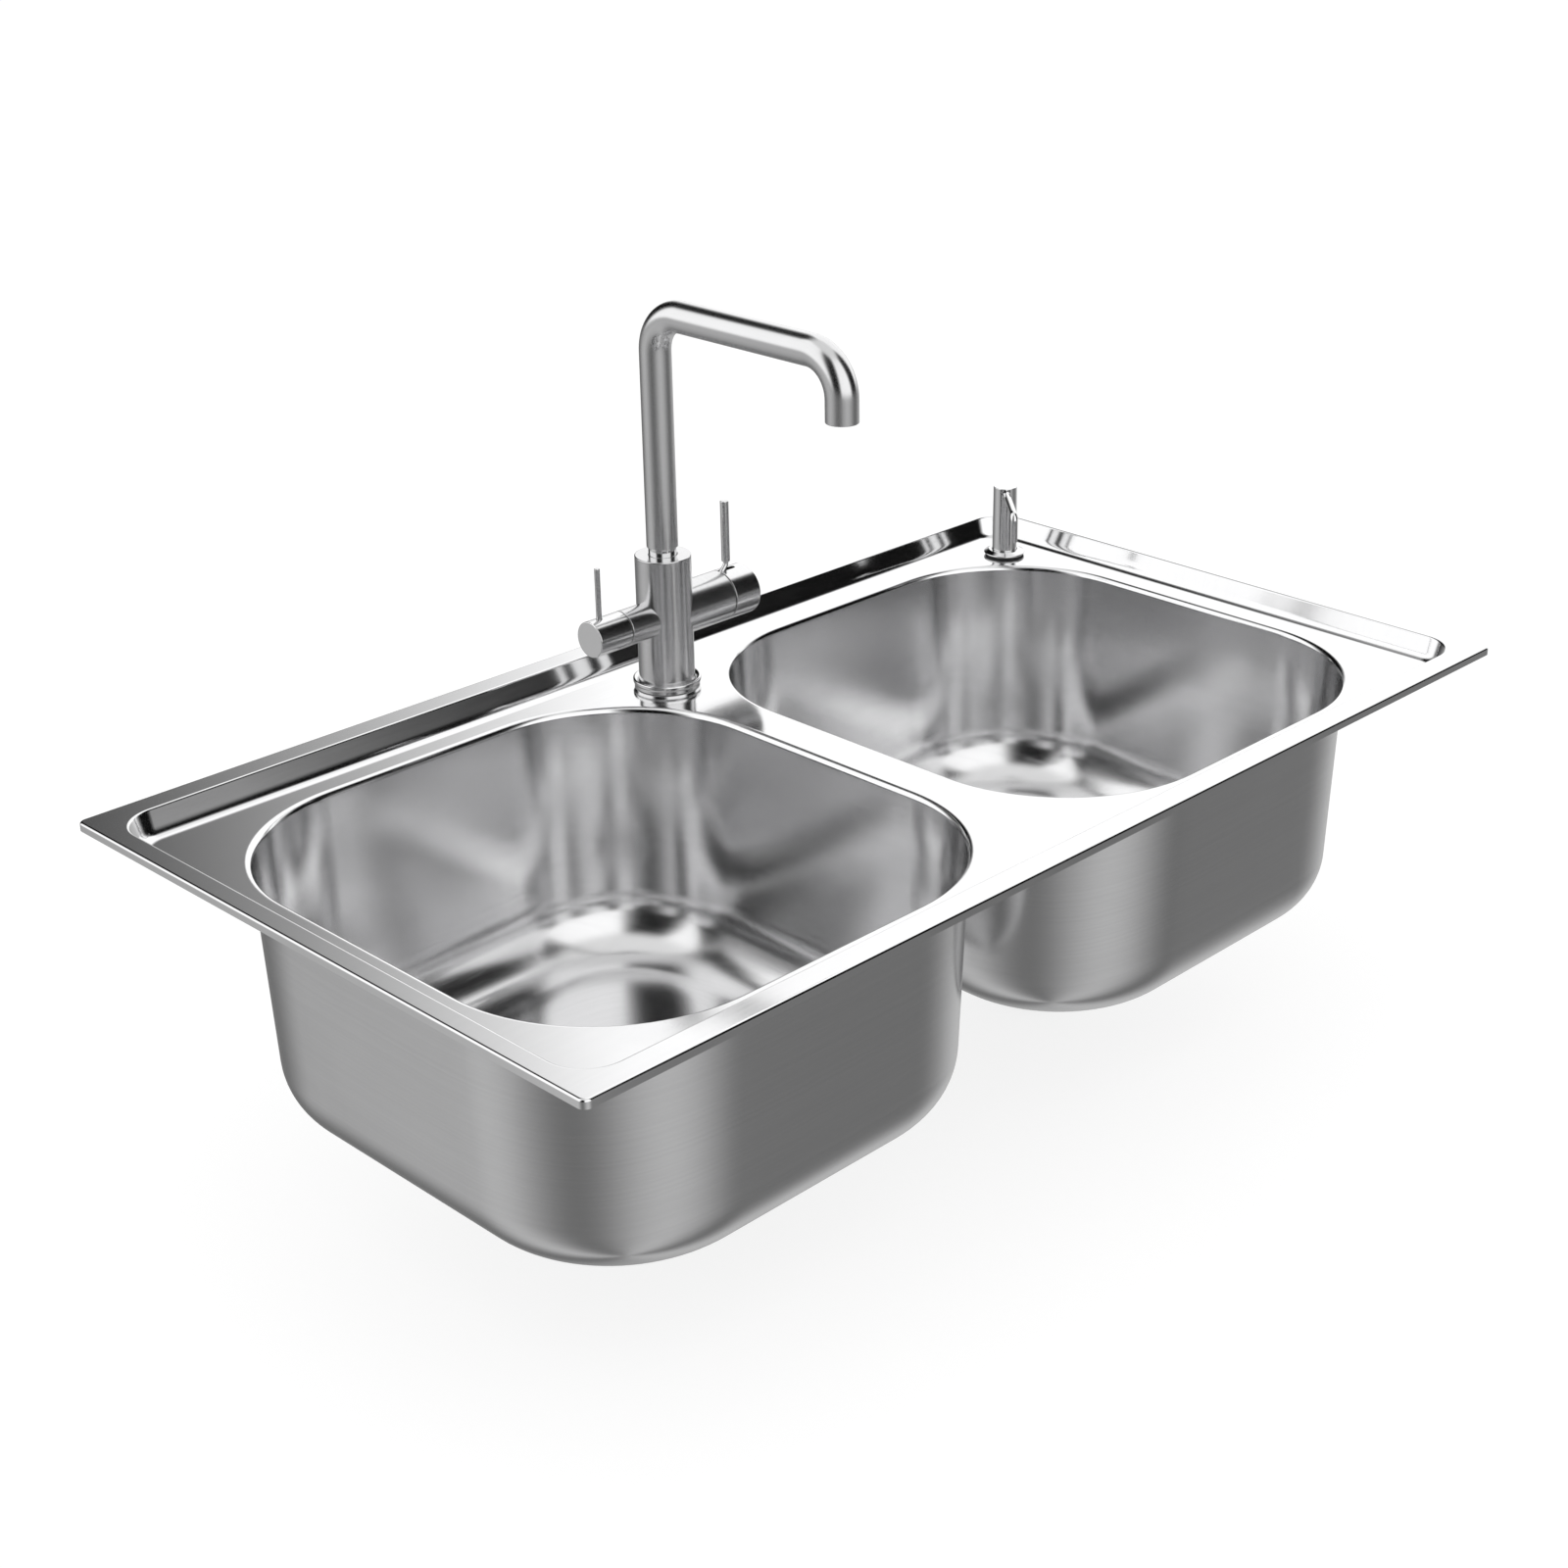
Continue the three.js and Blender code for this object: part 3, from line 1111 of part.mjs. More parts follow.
/** The thin spout tube: out of the head and down over the bowl. */
function headSpout() {
  const quarter = Math.PI / 2;
  const bendFoot = HEAD_SPOUT_HEIGHT - HEAD_SPOUT_BEND;
  const knee = -HEAD_SPOUT_REACH + HEAD_SPOUT_BEND;
  return bentTube([
    { y: -HEAD_SPOUT_ROOT - SEAT_GAP, z: HEAD_SPOUT_HEIGHT, lean: quarter },
    ...bendStations(knee, bendFoot, HEAD_SPOUT_BEND, quarter, 2 * quarter, 3),
    { y: -HEAD_SPOUT_REACH, z: HEAD_SPOUT_OUTLET, lean: 2 * quarter },
  ], HEAD_SPOUT_RADIUS, HEAD_SPOUT_BORE_RADIUS, ROUND_SMALL).rotateZ(HEAD_SPOUT_TURN + quarter);
}

/** The hollow stem: from the head's socket down to the piston in the barrel. */
function pumpStem() {
  const pistonTop = BARREL_TOP - PUMP_PISTON_DEPTH + PUMP_STROKE;
  const piston = PUMP_BARREL_RADIUS - PUMP_BARREL_WALL - RUNNING_GAP;
  return turned([
    [0, pistonTop - 5],
    [piston, pistonTop - 5],
    [piston, pistonTop],
    [PUMP_STEM_RADIUS, pistonTop + 1],
    [PUMP_STEM_RADIUS, HEAD_SPOUT_HEIGHT - HEAD_SPOUT_RADIUS - 1 - RUNNING_GAP],
    [0, HEAD_SPOUT_HEIGHT - HEAD_SPOUT_RADIUS - 1 - RUNNING_GAP],
  ], ROUND_SMALL);
}

/** The pump's barrel: a flanged cylinder that narrows to a spigot for the dip tube. */
function pumpBarrel() {
  const inner = PUMP_BARREL_RADIUS - PUMP_BARREL_WALL;
  const spigot = DIP_TUBE_RADIUS + SEAT_GAP;
  return turned([
    [PUMP_STEM_RADIUS + RUNNING_GAP, BARREL_TOP],
    [BARREL_FLANGE_RADIUS, BARREL_TOP],
    [BARREL_FLANGE_RADIUS, BARREL_TOP - 2],
    [PUMP_BARREL_RADIUS, BARREL_TOP - 2],
    [PUMP_BARREL_RADIUS, BARREL_FOOT + 4],
    [spigot + 1, BARREL_FOOT - 6],
    [spigot, BARREL_FOOT - 6],
    [inner, BARREL_FOOT + 5],
    [inner, BARREL_TOP - 1.5],
    [PUMP_STEM_RADIUS + RUNNING_GAP, BARREL_TOP - 1.5],
  ], ROUND_HIDDEN);
}

/** A path that climbs in a helix about Z. */
class Helix extends THREE.Curve {
  constructor(radius, turns, bottom, top) {
    super();
    this.radius = radius;
    this.turns = turns;
    this.bottom = bottom;
    this.top = top;
  }

  getPoint(t, target = new THREE.Vector3()) {
    const angle = t * this.turns * 2 * Math.PI;
    const z = this.bottom + (this.top - this.bottom) * t;
    return target.set(this.radius * Math.cos(angle), this.radius * Math.sin(angle), z);
  }
}

/** The return spring between the barrel's flange and the head's foot. */
function pumpSpring() {
  const radius = (PUMP_STEM_RADIUS + BARREL_FLANGE_RADIUS) / 2;
  const margin = SPRING_WIRE / 2 + SEAT_GAP + 0.15;
  const path = new Helix(radius, SPRING_TURNS, BARREL_TOP + margin, HEAD_FOOT - margin);
  return alongCurve(path, SPRING_WIRE / 2, Math.round(SPRING_TURNS * 8), 4);
}

const BOTTLE_TOP = -COLLAR_SHANK_LENGTH + BOTTLE_OVERLAP;

/** The bottle, screwed up onto the collar's shank. */
function soapBottle() {
  const neck = COLLAR_SHANK_RADIUS + SEAT_GAP;
  const shoulder = BOTTLE_TOP - BOTTLE_NECK_LENGTH;
  const foot = BOTTLE_TOP - BOTTLE_LENGTH;
  const inside = BOTTLE_RADIUS - BOTTLE_WALL;
  return turned([
    [0, foot],
    [BOTTLE_RADIUS - 3, foot],
    [BOTTLE_RADIUS, foot + 3],
    [BOTTLE_RADIUS, shoulder - 8],
    [neck + BOTTLE_WALL + 0.8, shoulder],
    [neck + BOTTLE_WALL + 0.8, BOTTLE_TOP],
    [neck, BOTTLE_TOP],
    [neck, shoulder - 1],
    [inside, shoulder - 9],
    [inside, foot + BOTTLE_WALL + 2],
    [inside - 2, foot + BOTTLE_WALL],
    [0, foot + BOTTLE_WALL],
  ]);
}

/** The whole dispenser about its own axis, standing on the deck's top face. */
function dispenser() {
  const x = SINK_LENGTH / 2 - DISPENSER_FROM_END;
  const y = SINK_WIDTH / 2 - DISPENSER_FROM_BACK;
  const sealTop = SEAT_GAP + COLLAR_SEAL_THICKNESS;
  const seal = washer(DISPENSER_HOLE_RADIUS + 0.4, COLLAR_RADIUS - 0.9, SEAT_GAP, sealTop, ROUND_HIDDEN);
  const washerTop = -SHEET - SEAT_GAP;
  const washerBottom = washerTop - DISPENSER_WASHER_THICKNESS;
  const bore = COLLAR_SHANK_RADIUS + SEAT_GAP;
  const softWasher = washer(bore, DISPENSER_NUT_RADIUS - 1, washerBottom, washerTop, ROUND);
  const nutTop = washerBottom - SEAT_GAP;
  const nut = hexNut(DISPENSER_NUT_RADIUS, bore, nutTop - DISPENSER_NUT_HEIGHT, nutTop, ROUND);
  const tubeTop = BARREL_FOOT - 0.5;
  const tubeFoot = BOTTLE_TOP - BOTTLE_LENGTH + BOTTLE_WALL + SEAT_GAP;
  const dipTube = washer(DIP_TUBE_BORE_RADIUS, DIP_TUBE_RADIUS, tubeFoot, tubeTop, ROUND_SMALL);
  return assembly('soap_dispenser', [x, y, DECK_TOP],
    piece('dispenser_seal', seal, 'blackRubber'),
    piece('dispenser_collar', dispenserCollar(), 'polishedSteel'),
    piece('press_head', pressHead(), 'polishedSteel'),
    piece('head_spout', headSpout(), 'polishedSteel'),
    piece('pump_stem', pumpStem(), 'whitePlastic'),
    piece('pump_spring', pumpSpring(), 'polishedSteel'),
    piece('pump_barrel', pumpBarrel(), 'whitePlastic'),
    piece('dispenser_washer', softWasher, 'blackRubber'),
    piece('dispenser_nut', nut, 'greyPlastic'),
    piece('soap_bottle', soapBottle(), 'whitePlastic'),
    piece('dip_tube', dipTube, 'whitePlastic'));
}

// ---------------------------------------------------------------- the assembled sink

const bowlAt = (name, x) => {
  const mesh = piece(name, bowl(), 'satinSteel');
  mesh.position.x = x;
  return mesh;
};

const group = new THREE.Group();
group.name = 'double_bowl_sink';
group.add(
  piece('sink_deck', sinkDeck(), 'polishedSteel'),
  bowlAt('left_bowl', -BOWL_CENTRE_X),
  bowlAt('right_bowl', BOWL_CENTRE_X),
  piece('rim_seal', rimSeal(), 'blackRubber'),
  wasteOutlet('left', -BOWL_CENTRE_X),
  wasteOutlet('right', BOWL_CENTRE_X),
  tap(),
  dispenser(),
);

export default group;
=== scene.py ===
"""A double bowl kitchen sink with a three-way tap and a soap dispenser, dressed on its CAD frame.

Lengths in this file are millimetres and turn into metres when a mesh is made. X runs from the left
bowl to the right one, Y from front to back, and Z = 0 is the worktop's plane.
"""

import logging
import math
from dataclasses import dataclass, field
from enum import Enum
from typing import Any, Callable, Sequence

import bpy
import numpy as np
from mathutils import Matrix, Vector
from mathutils.geometry import delaunay_2d_cdt


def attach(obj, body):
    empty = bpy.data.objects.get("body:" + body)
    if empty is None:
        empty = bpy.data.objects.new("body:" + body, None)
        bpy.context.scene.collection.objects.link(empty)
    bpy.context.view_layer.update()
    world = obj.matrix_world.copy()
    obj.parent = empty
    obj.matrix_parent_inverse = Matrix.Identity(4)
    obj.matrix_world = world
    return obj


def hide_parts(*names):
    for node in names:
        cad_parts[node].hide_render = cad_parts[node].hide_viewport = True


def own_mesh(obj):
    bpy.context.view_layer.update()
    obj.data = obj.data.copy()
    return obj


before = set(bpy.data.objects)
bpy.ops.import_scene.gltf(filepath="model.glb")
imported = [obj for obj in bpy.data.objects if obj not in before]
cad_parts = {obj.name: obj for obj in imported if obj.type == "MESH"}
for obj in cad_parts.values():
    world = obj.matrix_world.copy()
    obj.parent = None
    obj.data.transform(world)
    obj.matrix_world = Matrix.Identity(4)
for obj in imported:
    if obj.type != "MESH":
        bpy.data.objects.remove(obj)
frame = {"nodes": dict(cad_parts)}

LOG = logging.getLogger("sink")

MM = 0.001
SHEET = 1.0
RIM_TOP = 5.3
DECK_TOP = -10.7
BOWL_CENTRE = 189.0
TAP_X, TAP_Y = 0.0, 161.3
TAP_TOP = 92.1
ARM_HEIGHT = 49.8
DISPENSER_X, DISPENSER_Y = 351.5, 169.0
SEAT_GAP = 0.3
ROUND = 96
ROUND_SMALL = 48
SHARP_ANGLE = math.radians(38)


class Body(Enum):
    """The moving groups of the frame."""

    SINK = "sink"
    SPOUT = "spout"
    MIXER_TURNER = "mixer_turner"
    MIXER_HANDLE = "mixer_handle"
    FILTER_HANDLE = "filter_handle"
    LEFT_BASKET = "left_basket_set"
    RIGHT_BASKET = "right_basket_set"
    PLUNGER = "dispenser_plunger"
    PRESS_HEAD = "dispenser_head"


class Slot(Enum):
    """The record's material slots."""

    POLISHED = "polished_steel"
    SATIN = "satin_steel"
    BRUSHED = "brushed_steel"
    BRASS = "brass"
    ZINC = "zinc_plate"
    RUBBER = "black_rubber"
    GREY = "grey_plastic"
    WHITE = "white_plastic"


class Side(Enum):
    """The two bowls, each with the X of its centre line."""

    LEFT = -BOWL_CENTRE
    RIGHT = BOWL_CENTRE

    @property
    def word(self) -> str:
        """The side's name as pieces use it."""
        return self.name.lower()


# ---------------------------------------------------------------- surfaces


@dataclass
class Surface:
    """Points in millimetres and the faces between them.

    grain gives each point a place in the finish: first across its lines, then two along them.
    """

    points: np.ndarray
    faces: list[np.ndarray]
    grain: np.ndarray

    def moved(self, x: float, y: float, z: float) -> "Surface":
        """The surface shifted by x, y and z."""
        return Surface(self.points + np.array([x, y, z]), self.faces, self.grain)

    def about_x(self) -> "Surface":
        """The surface turned so that +Z points along +X: (x, y, z) becomes (z, y, -x)."""
        x, y, z = self.points.T
        return Surface(np.stack([z, y, -x], -1), self.faces, self.grain)

    def spun(self, angle: float) -> "Surface":
        """The surface turned about Z by an angle in radians."""
        cosine, sine = math.cos(angle), math.sin(angle)
        x, y, z = self.points.T
        turned = np.stack([x * cosine - y * sine, x * sine + y * cosine, z], -1)
        return Surface(turned, self.faces, self.grain)

    def flipped(self) -> "Surface":
        """The surface with every face seen from its other side."""
        return Surface(self.points, [face[:, ::-1] for face in self.faces], self.grain)

    def triangles(self) -> np.ndarray:
        """Every face as triangles, quads cut from their first corner."""
        parts = []
        for face in self.faces:
            for last in range(2, face.shape[1]):
                parts.append(face[:, [0, last - 1, last]])
        return np.vstack(parts)

    def outward(self) -> "Surface":
        """Faces pointing out of a closed surface: a . (b x c) summed over triangles is positive."""
        a, b, c = (self.points[self.triangles()[:, k]] for k in range(3))
        return self if (a * np.cross(b, c)).sum() > 0 else self.flipped()

    def upward(self) -> "Surface":
        """Faces pointing up on the whole: the summed area vectors have a positive Z."""
        a, b, c = (self.points[self.triangles()[:, k]] for k in range(3))
        return self if np.cross(b - a, c - a)[:, 2].sum() > 0 else self.flipped()

    def welded(self) -> "Surface":
        """Points that share a place become one, and faces that lose their area go."""
        keys = np.round(self.points, 3)
        _, first, back = np.unique(keys, axis=0, return_index=True, return_inverse=True)
        back = back.reshape(-1)
        faces = []
        for face in self.faces:
            face = back[face]
            ordered = np.sort(face, 1)
            faces.append(face[(np.diff(ordered, axis=1) > 0).all(1)])
        return Surface(self.points[first], faces, self.grain[first])


def joined(*surfaces: Surface) -> Surface:
    """Several surfaces as one, their faces renumbered.

    Args:
        surfaces: the surfaces, each already the right way round.
    Returns:
        One surface with all their points and faces.
    """
    faces, start = [], 0
    for surface in surfaces:
        faces += [face + start for face in surface.faces]
        start += len(surface.points)
    points = np.vstack([surface.points for surface in surfaces])
    return Surface(points, faces, np.vstack([surface.grain for surface in surfaces]))


def rounded(corners: Sequence[Sequence[float]], closed: bool = True, steps: int = 5,
            support: float = 0.2) -> np.ndarray:
    """A line through corners, each turned into an arc that touches both of its sides.

    The arc of radius r at a corner with angle t between its sides starts r / tan(t / 2) from it.
    Straight runs get a point close to each end, so that shading stays flat between arcs.

    Args:
        corners: each corner's place, in two or three numbers, and then its radius.
        closed: whether the last corner joins the first.
        steps: points per arc, less one.
        support: how far from an arc a straight run's extra points lie.
    Returns:
        The points of the line, one row each.
    """
    table = np.asarray(corners, float)
    places, radii = table[:, :-1], table[:, -1]
    count = len(places)
    arcs = []
    for i, (here, radius) in enumerate(zip(places, radii)):
        at_end = not closed and i in (0, count - 1)
        if at_end or radius <= 0:
            arcs.append(here[None])
            continue
        before, after = places[i - 1] - here, places[(i + 1) % count] - here
        before, after = before / np.linalg.norm(before), after / np.linalg.norm(after)
        angle = math.acos(float(np.clip(before @ after, -1, 1)))
        if math.pi - angle < 1e-3:
            arcs.append(here[None])
            continue
        reach = radius / math.tan(angle / 2)
        middle = before + after
        centre = here + middle / np.linalg.norm(middle) * radius / math.sin(angle / 2)
        start, end = here + before * reach - centre, here + after * reach - centre
        sweep = math.pi - angle
        share = np.linspace(0, 1, steps + 1)[:, None]
        arcs.append(centre + (np.sin((1 - share) * sweep) * start + np.sin(share * sweep) * end)
                    / math.sin(sweep))
    line = []
    for i, arc in enumerate(arcs):
        line.append(arc)
        if i == count - 1 and not closed:
            break
        start, end = arc[-1], arcs[(i + 1) % count][0]
        length = float(np.linalg.norm(end - start))
        if length > 4 * support:
            along = (end - start) / length
            line.append(np.array([start + along * support, end - along * support]))
    return np.vstack(line)


def skin(rings: np.ndarray, grain: np.ndarray, loop: bool = False, first_pole: Any = None,
         last_pole: Any = None) -> Surface:
    """Faces between rings of points: k of a ring joins k + 1 and the same two of the next.

    Args:
        rings: rows of equally many points, each row a closed ring.
        grain: the finish's place of every ring point.
        loop: whether the last ring joins the first.
        first_pole: a point that closes the first ring with a fan of triangles.
        last_pole: a point that closes the last ring in the same way.
    Returns:
        The surface.
    """
    rows, count = rings.shape[:2]
    row = np.arange(rows if loop else rows - 1)[:, None]
    column = np.arange(count)[None, :]
    beside, below = (column + 1) % count, (row + 1) % rows
    quads = np.stack([row * count + column, row * count + beside,
                      below * count + beside, below * count + column], -1).reshape(-1, 4)
    points, places = rings.reshape(-1, 3), grain.reshape(-1, 3)
    faces = [quads]
    around = np.arange(count)
    for pole, start, order in ((first_pole, 0, -1), (last_pole, (rows - 1) * count, 1)):
        if pole is None:
            continue
        centre = np.full(count, len(points))
        edge = np.stack([start + around, start + (around + 1) % count], -1)[:, ::order]
        faces.append(np.column_stack([centre, edge]))
        ring_grain = grain[0] if order < 0 else grain[-1]
        points = np.vstack([points, pole])
        places = np.vstack([places, ring_grain.mean(0)])
    return Surface(points, faces, places)


def lathe(profile: np.ndarray, segments: int = ROUND) -> Surface:
    """A profile turned about Z: (r, z) becomes (r cos a, r sin a, z) for a once round the circle.

    Args:
        profile: radius and height of each point; an end on the axis becomes a pole, else it closes.
        segments: how many steps once round.
    Returns:
        A closed surface, faces outwards; its lines run round the axis.
    """
    on_axis = profile[:, 0] < 1e-9
    radius, height = profile[~on_axis].T
    angle = np.linspace(0, 2 * np.pi, segments, endpoint=False)
    x, y = radius[:, None] * np.cos(angle), radius[:, None] * np.sin(angle)
    z = np.repeat(height[:, None], segments, 1)
    rings = np.stack([x, y, z], -1)
    grain = np.stack([z - radius[:, None], x, y], -1)
    first = (0, 0, profile[0, 1]) if on_axis[0] else None
    last = (0, 0, profile[-1, 1]) if on_axis[-1] else None
    return skin(rings, grain, not on_axis.any(), first, last).outward()


def warped(surface: Surface, change: Callable[..., np.ndarray]) -> Surface:
    """A surface about Z whose radii change: each new one is change(radius, angle, height).

    Args:
        surface: a surface turned about Z.
        change: a function of three arrays that gives the new radii.
    Returns:
        The surface with its points moved towards or away from the axis.
    """
    x, y, z = surface.points.T
    radius, angle = np.hypot(x, y), np.arctan2(y, x)
    share = change(radius, angle, z) / np.maximum(radius, 1e-9)
    return Surface(np.stack([x * share, y * share, z], -1), surface.faces, surface.grain)


def threaded(surface: Surface, radius: float, depth: float, pitch: float, bottom: float,
             top: float) -> Surface:
    """Cut a helical thread into the wall of one radius, between two heights.

    The wall goes in by depth (0.5 - 0.5 cos 2 pi (z / pitch - a / 2 pi)), faded out over one pitch
    at both ends of the thread.

    Args:
        surface: a surface turned about Z, with rows close enough together to carry the thread.
        radius: the wall that takes the thread.
        depth: how deep its grooves are.
        pitch: the distance from one groove to the next.
        bottom: where the thread starts.
        top: where it ends.
    Returns:
        The threaded surface.
    """
    def change(r: np.ndarray, angle: np.ndarray, z: np.ndarray) -> np.ndarray:
        """The radius less the groove's depth there."""
        wave = 0.5 - 0.5 * np.cos(2 * np.pi * (z / pitch) - angle)
        fade = np.clip((z - bottom) / pitch, 0, 1) * np.clip((top - z) / pitch, 0, 1)
        return r - depth * wave * fade * (np.abs(r - radius) < 0.05)
    return warped(surface, change)


def wall(radius: float, start: float, end: float, pitch: float) -> list[tuple[float, float, float]]:
    """Corners up or down a wall of one radius, eight for each turn of a thread."""
    count = max(2, int(abs(end - start) / pitch * 8))
    return [(radius, float(z), 0.0) for z in np.linspace(start, end, count)]


def washer(bore: float, outer: float, top: float, thickness: float, edge: float = 0.6) -> Surface:
    """A soft washer below a height, its outer edges rounded."""
    low = top - thickness
    return lathe(rounded([(bore, top, 0.3), (outer, top, edge), (outer, low, edge),
                          (bore, low, 0.3)]))


def hexagonal(surface: Surface, radius: float, inner: float) -> Surface:
    """Cut a round surface to six flats: r is at most R cos 30 / cos(a mod 60 - 30).

    Args:
        surface: a surface turned about Z.
        radius: the distance from the axis to a corner.
        inner: points closer to the axis than this stay.
    Returns:
        The surface with six flats; where its profile is chamfered, the chamfer stays round.
    """
    def change(r: np.ndarray, angle: np.ndarray, _z: np.ndarray) -> np.ndarray:
        """The smaller of the radius and the hexagon's own."""
        turn = np.mod(angle, np.pi / 3) - np.pi / 6
        flat = radius * math.cos(math.pi / 6) / np.cos(turn)
        return np.where(r > inner, np.minimum(r, flat), r)
    return warped(surface, change)


def lobed(surface: Surface, lobes: int, depth: float, inner: float, turn: float = 0.0) -> Surface:
    """Press hollows into a round edge: r loses depth (0.5 - 0.5 tanh(3 cos n(a - t)) / tanh 3).

    Args:
        surface: a surface turned about Z.
        lobes: how many lobes stand between the hollows.
        depth: how deep a hollow is.
        inner: points closer to the axis than this stay.
        turn: the angle of the first lobe's middle.
    Returns:
        The lobed surface.
    """
    def change(r: np.ndarray, angle: np.ndarray, _z: np.ndarray) -> np.ndarray:
        """The radius less the hollow's depth there."""
        hollow = 0.5 - 0.5 * np.tanh(3 * np.cos(lobes * (angle - turn))) / math.tanh(3)
        return np.where(r > inner, r - depth * hollow, r)
    return warped(surface, change)


def rounded_rectangle(half_x: float, half_y: float, radius: float, corner_steps: int = 24,
                      side_steps: int = 12) -> np.ndarray:
    """Points round a rectangle whose corners are arcs; sides and arcs are cut evenly.

    Args:
        half_x: half of its length.
        half_y: half of its width.
        radius: its corner radius.
        corner_steps: steps in each corner.
        side_steps: steps along each side.
    Returns:
        The points, anticlockwise from the right-hand side.
    """
    quarter = np.linspace(0, np.pi / 2, corner_steps + 1)
    corners = []
    for number, (across, along) in enumerate(((1, 1), (-1, 1), (-1, -1), (1, -1))):
        angle = quarter + number * np.pi / 2
        corners.append(np.stack([across * (half_x - radius) + radius * np.cos(angle),
                                 along * (half_y - radius) + radius * np.sin(angle)], -1))
    share = np.linspace(0, 1, side_steps + 1)[1:-1, None]
    parts = []
    for here, following in zip(corners, corners[1:] + corners[:1]):
        parts += [here, here[-1] + share * (following[0] - here[-1])]
    return np.vstack(parts)


def circle(radius: float, centre: tuple[float, float] = (0.0, 0.0),
           count: int = ROUND) -> np.ndarray:
    """Points round a circle in the plane."""
    angle = np.linspace(0, 2 * np.pi, count, endpoint=False)
    return np.stack([centre[0] + radius * np.cos(angle), centre[1] + radius * np.sin(angle)], -1)


def at_height(outline: np.ndarray, height: float) -> np.ndarray:
    """A plane outline lifted to a height."""
    return np.column_stack([outline, np.full(len(outline), height)])


def inside(outline: np.ndarray, places: np.ndarray) -> np.ndarray:
    """Which places lie inside an outline: a ray to the right crosses it an odd number of times."""
    x, y = places[:, :1], places[:, 1:2]
    ax, ay = outline[:, 0], outline[:, 1]
    bx, by = np.roll(ax, -1), np.roll(ay, -1)
    rise = np.where(by == ay, 1e-12, by - ay)
    crossing = ((ay > y) != (by > y)) & (x < (bx - ax) * (y - ay) / rise + ax)
    return crossing.sum(1) % 2 == 1


def plate(outline: np.ndarray, holes: Sequence[np.ndarray], height: float) -> Surface:
    """A flat sheet inside an outline and round its holes, cut into triangles.

    Args:
        outline: the sheet's edge.
        holes: the edges of its holes.
        height: the Z of the sheet.
    Returns:
        An open surface that faces up.
    """
    loops = [outline, *holes]
    edges, start = [], 0
    for loop in loops:
        index = start + np.arange(len(loop))
        edges += np.stack([index, np.roll(index, -1)], -1).tolist()
        start += len(loop)
    places = [Vector(point) for point in np.vstack(loops).tolist()]
    corners, _, triangles, *_ = delaunay_2d_cdt(places, edges, [], 0, 1e-7)
    flat = np.array([corner[:] for corner in corners])
    triangles = np.array(triangles)
    middles = flat[triangles].mean(1)
    kept = inside(outline, middles)
    for hole in holes:
        kept &= ~inside(hole, middles)
    points = at_height(flat, height)
    grain = points[:, [1, 0, 2]]
    return Surface(points, [triangles[kept]], grain).upward()


@dataclass
class Route:
    """A smooth path with a direction square to it at each point."""

    points: np.ndarray
    across: np.ndarray

    @classmethod
    def in_plane(cls, corners: Sequence[Sequence[float]], square: Sequence[float],
                 steps: int = 16) -> "Route":
        """A path of straights and arcs in one plane.

        Args:
            corners: each corner's place and the radius of its bend.
            square: the direction square to the plane.
            steps: steps in each bend.
        Returns:
            The path.
        """
        points = rounded(corners, closed=False, steps=steps, support=1.0)
        tangents = np.gradient(points, axis=0)
        across = np.cross(np.asarray(square, float), tangents)
        return cls(points, across / np.linalg.norm(across, axis=1)[:, None])

    @property
    def lengths(self) -> np.ndarray:
        """How far along the path each point lies."""
        steps = np.linalg.norm(np.diff(self.points, axis=0), axis=1)
        return np.concatenate([[0.0], np.cumsum(steps)])

    def rings(self, radius: np.ndarray, along: np.ndarray, segments: int) -> np.ndarray:
        """Circles square to the path: c + r (n cos a + b sin a), with n across it and b = t x n.

        Args:
            radius: each circle's radius.
            along: how far along the path each circle lies.
            segments: points on each circle.
        Returns:
            The circles' points.
        """
        lengths = self.lengths
        tangents = np.gradient(self.points, axis=0)
        centre, tangent, across = (
            np.stack([np.interp(along, lengths, values[:, k]) for k in range(3)], -1)
            for values in (self.points, tangents, self.across))
        across /= np.linalg.norm(across, axis=1)[:, None]
        other = np.cross(tangent, across)
        other /= np.linalg.norm(other, axis=1)[:, None]
        angle = np.linspace(0, 2 * np.pi, segments, endpoint=False)[None, :, None]
        reach = radius[:, None, None]
        return (centre[:, None] + reach * np.cos(angle) * across[:, None]
                + reach * np.sin(angle) * other[:, None])


def turned_along(route: Route, profile: np.ndarray, segments: int = ROUND_SMALL) -> Surface:
    """A profile turned about a bent path, as a lathe turns one about a straight axis.

    Args:
        route: the path.
        profile: radius and distance along the path of each point; an end on it becomes a pole.
        segments: how many steps once round.
    Returns:
        A closed surface, faces outwards; its lines run along the path.
    """
    on_axis = profile[:, 0] < 1e-9
    radius, along = profile[~on_axis].T
    rings = route.rings(radius, along, segments)
    angle = np.linspace(0, 2 * np.pi, segments, endpoint=False)
    reach = np.repeat(radius[:, None], segments, 1)
    grain = np.stack([np.repeat(along[:, None], segments, 1),
                      reach * np.cos(angle), reach * np.sin(angle)], -1)
    poles = [route.rings(np.zeros(1), profile[end:][:1, 1], 3)[0, 0] if on_axis[end] else None
             for end in (0, -1)]
    return skin(rings, grain, not on_axis.any(), *poles).outward()


def tube_rows(section: np.ndarray, stations: np.ndarray) -> np.ndarray:
    """A tube's wall section, with a row at each station of its route along both long sides."""
    end = stations[-1]
    along = stations[(stations > 0.8) & (stations < end - 0.8)]
    rows = []
    for first, second in zip(section, np.roll(section, -1, 0)):
        rows.append(first[None])
        if abs(second[1] - first[1]) > end / 2:
            run = along if second[1] > first[1] else along[::-1]
            rows.append(np.column_stack([np.full(len(run), first[0]), run]))
    return np.vstack(rows)


# ---------------------------------------------------------------- shader wiring


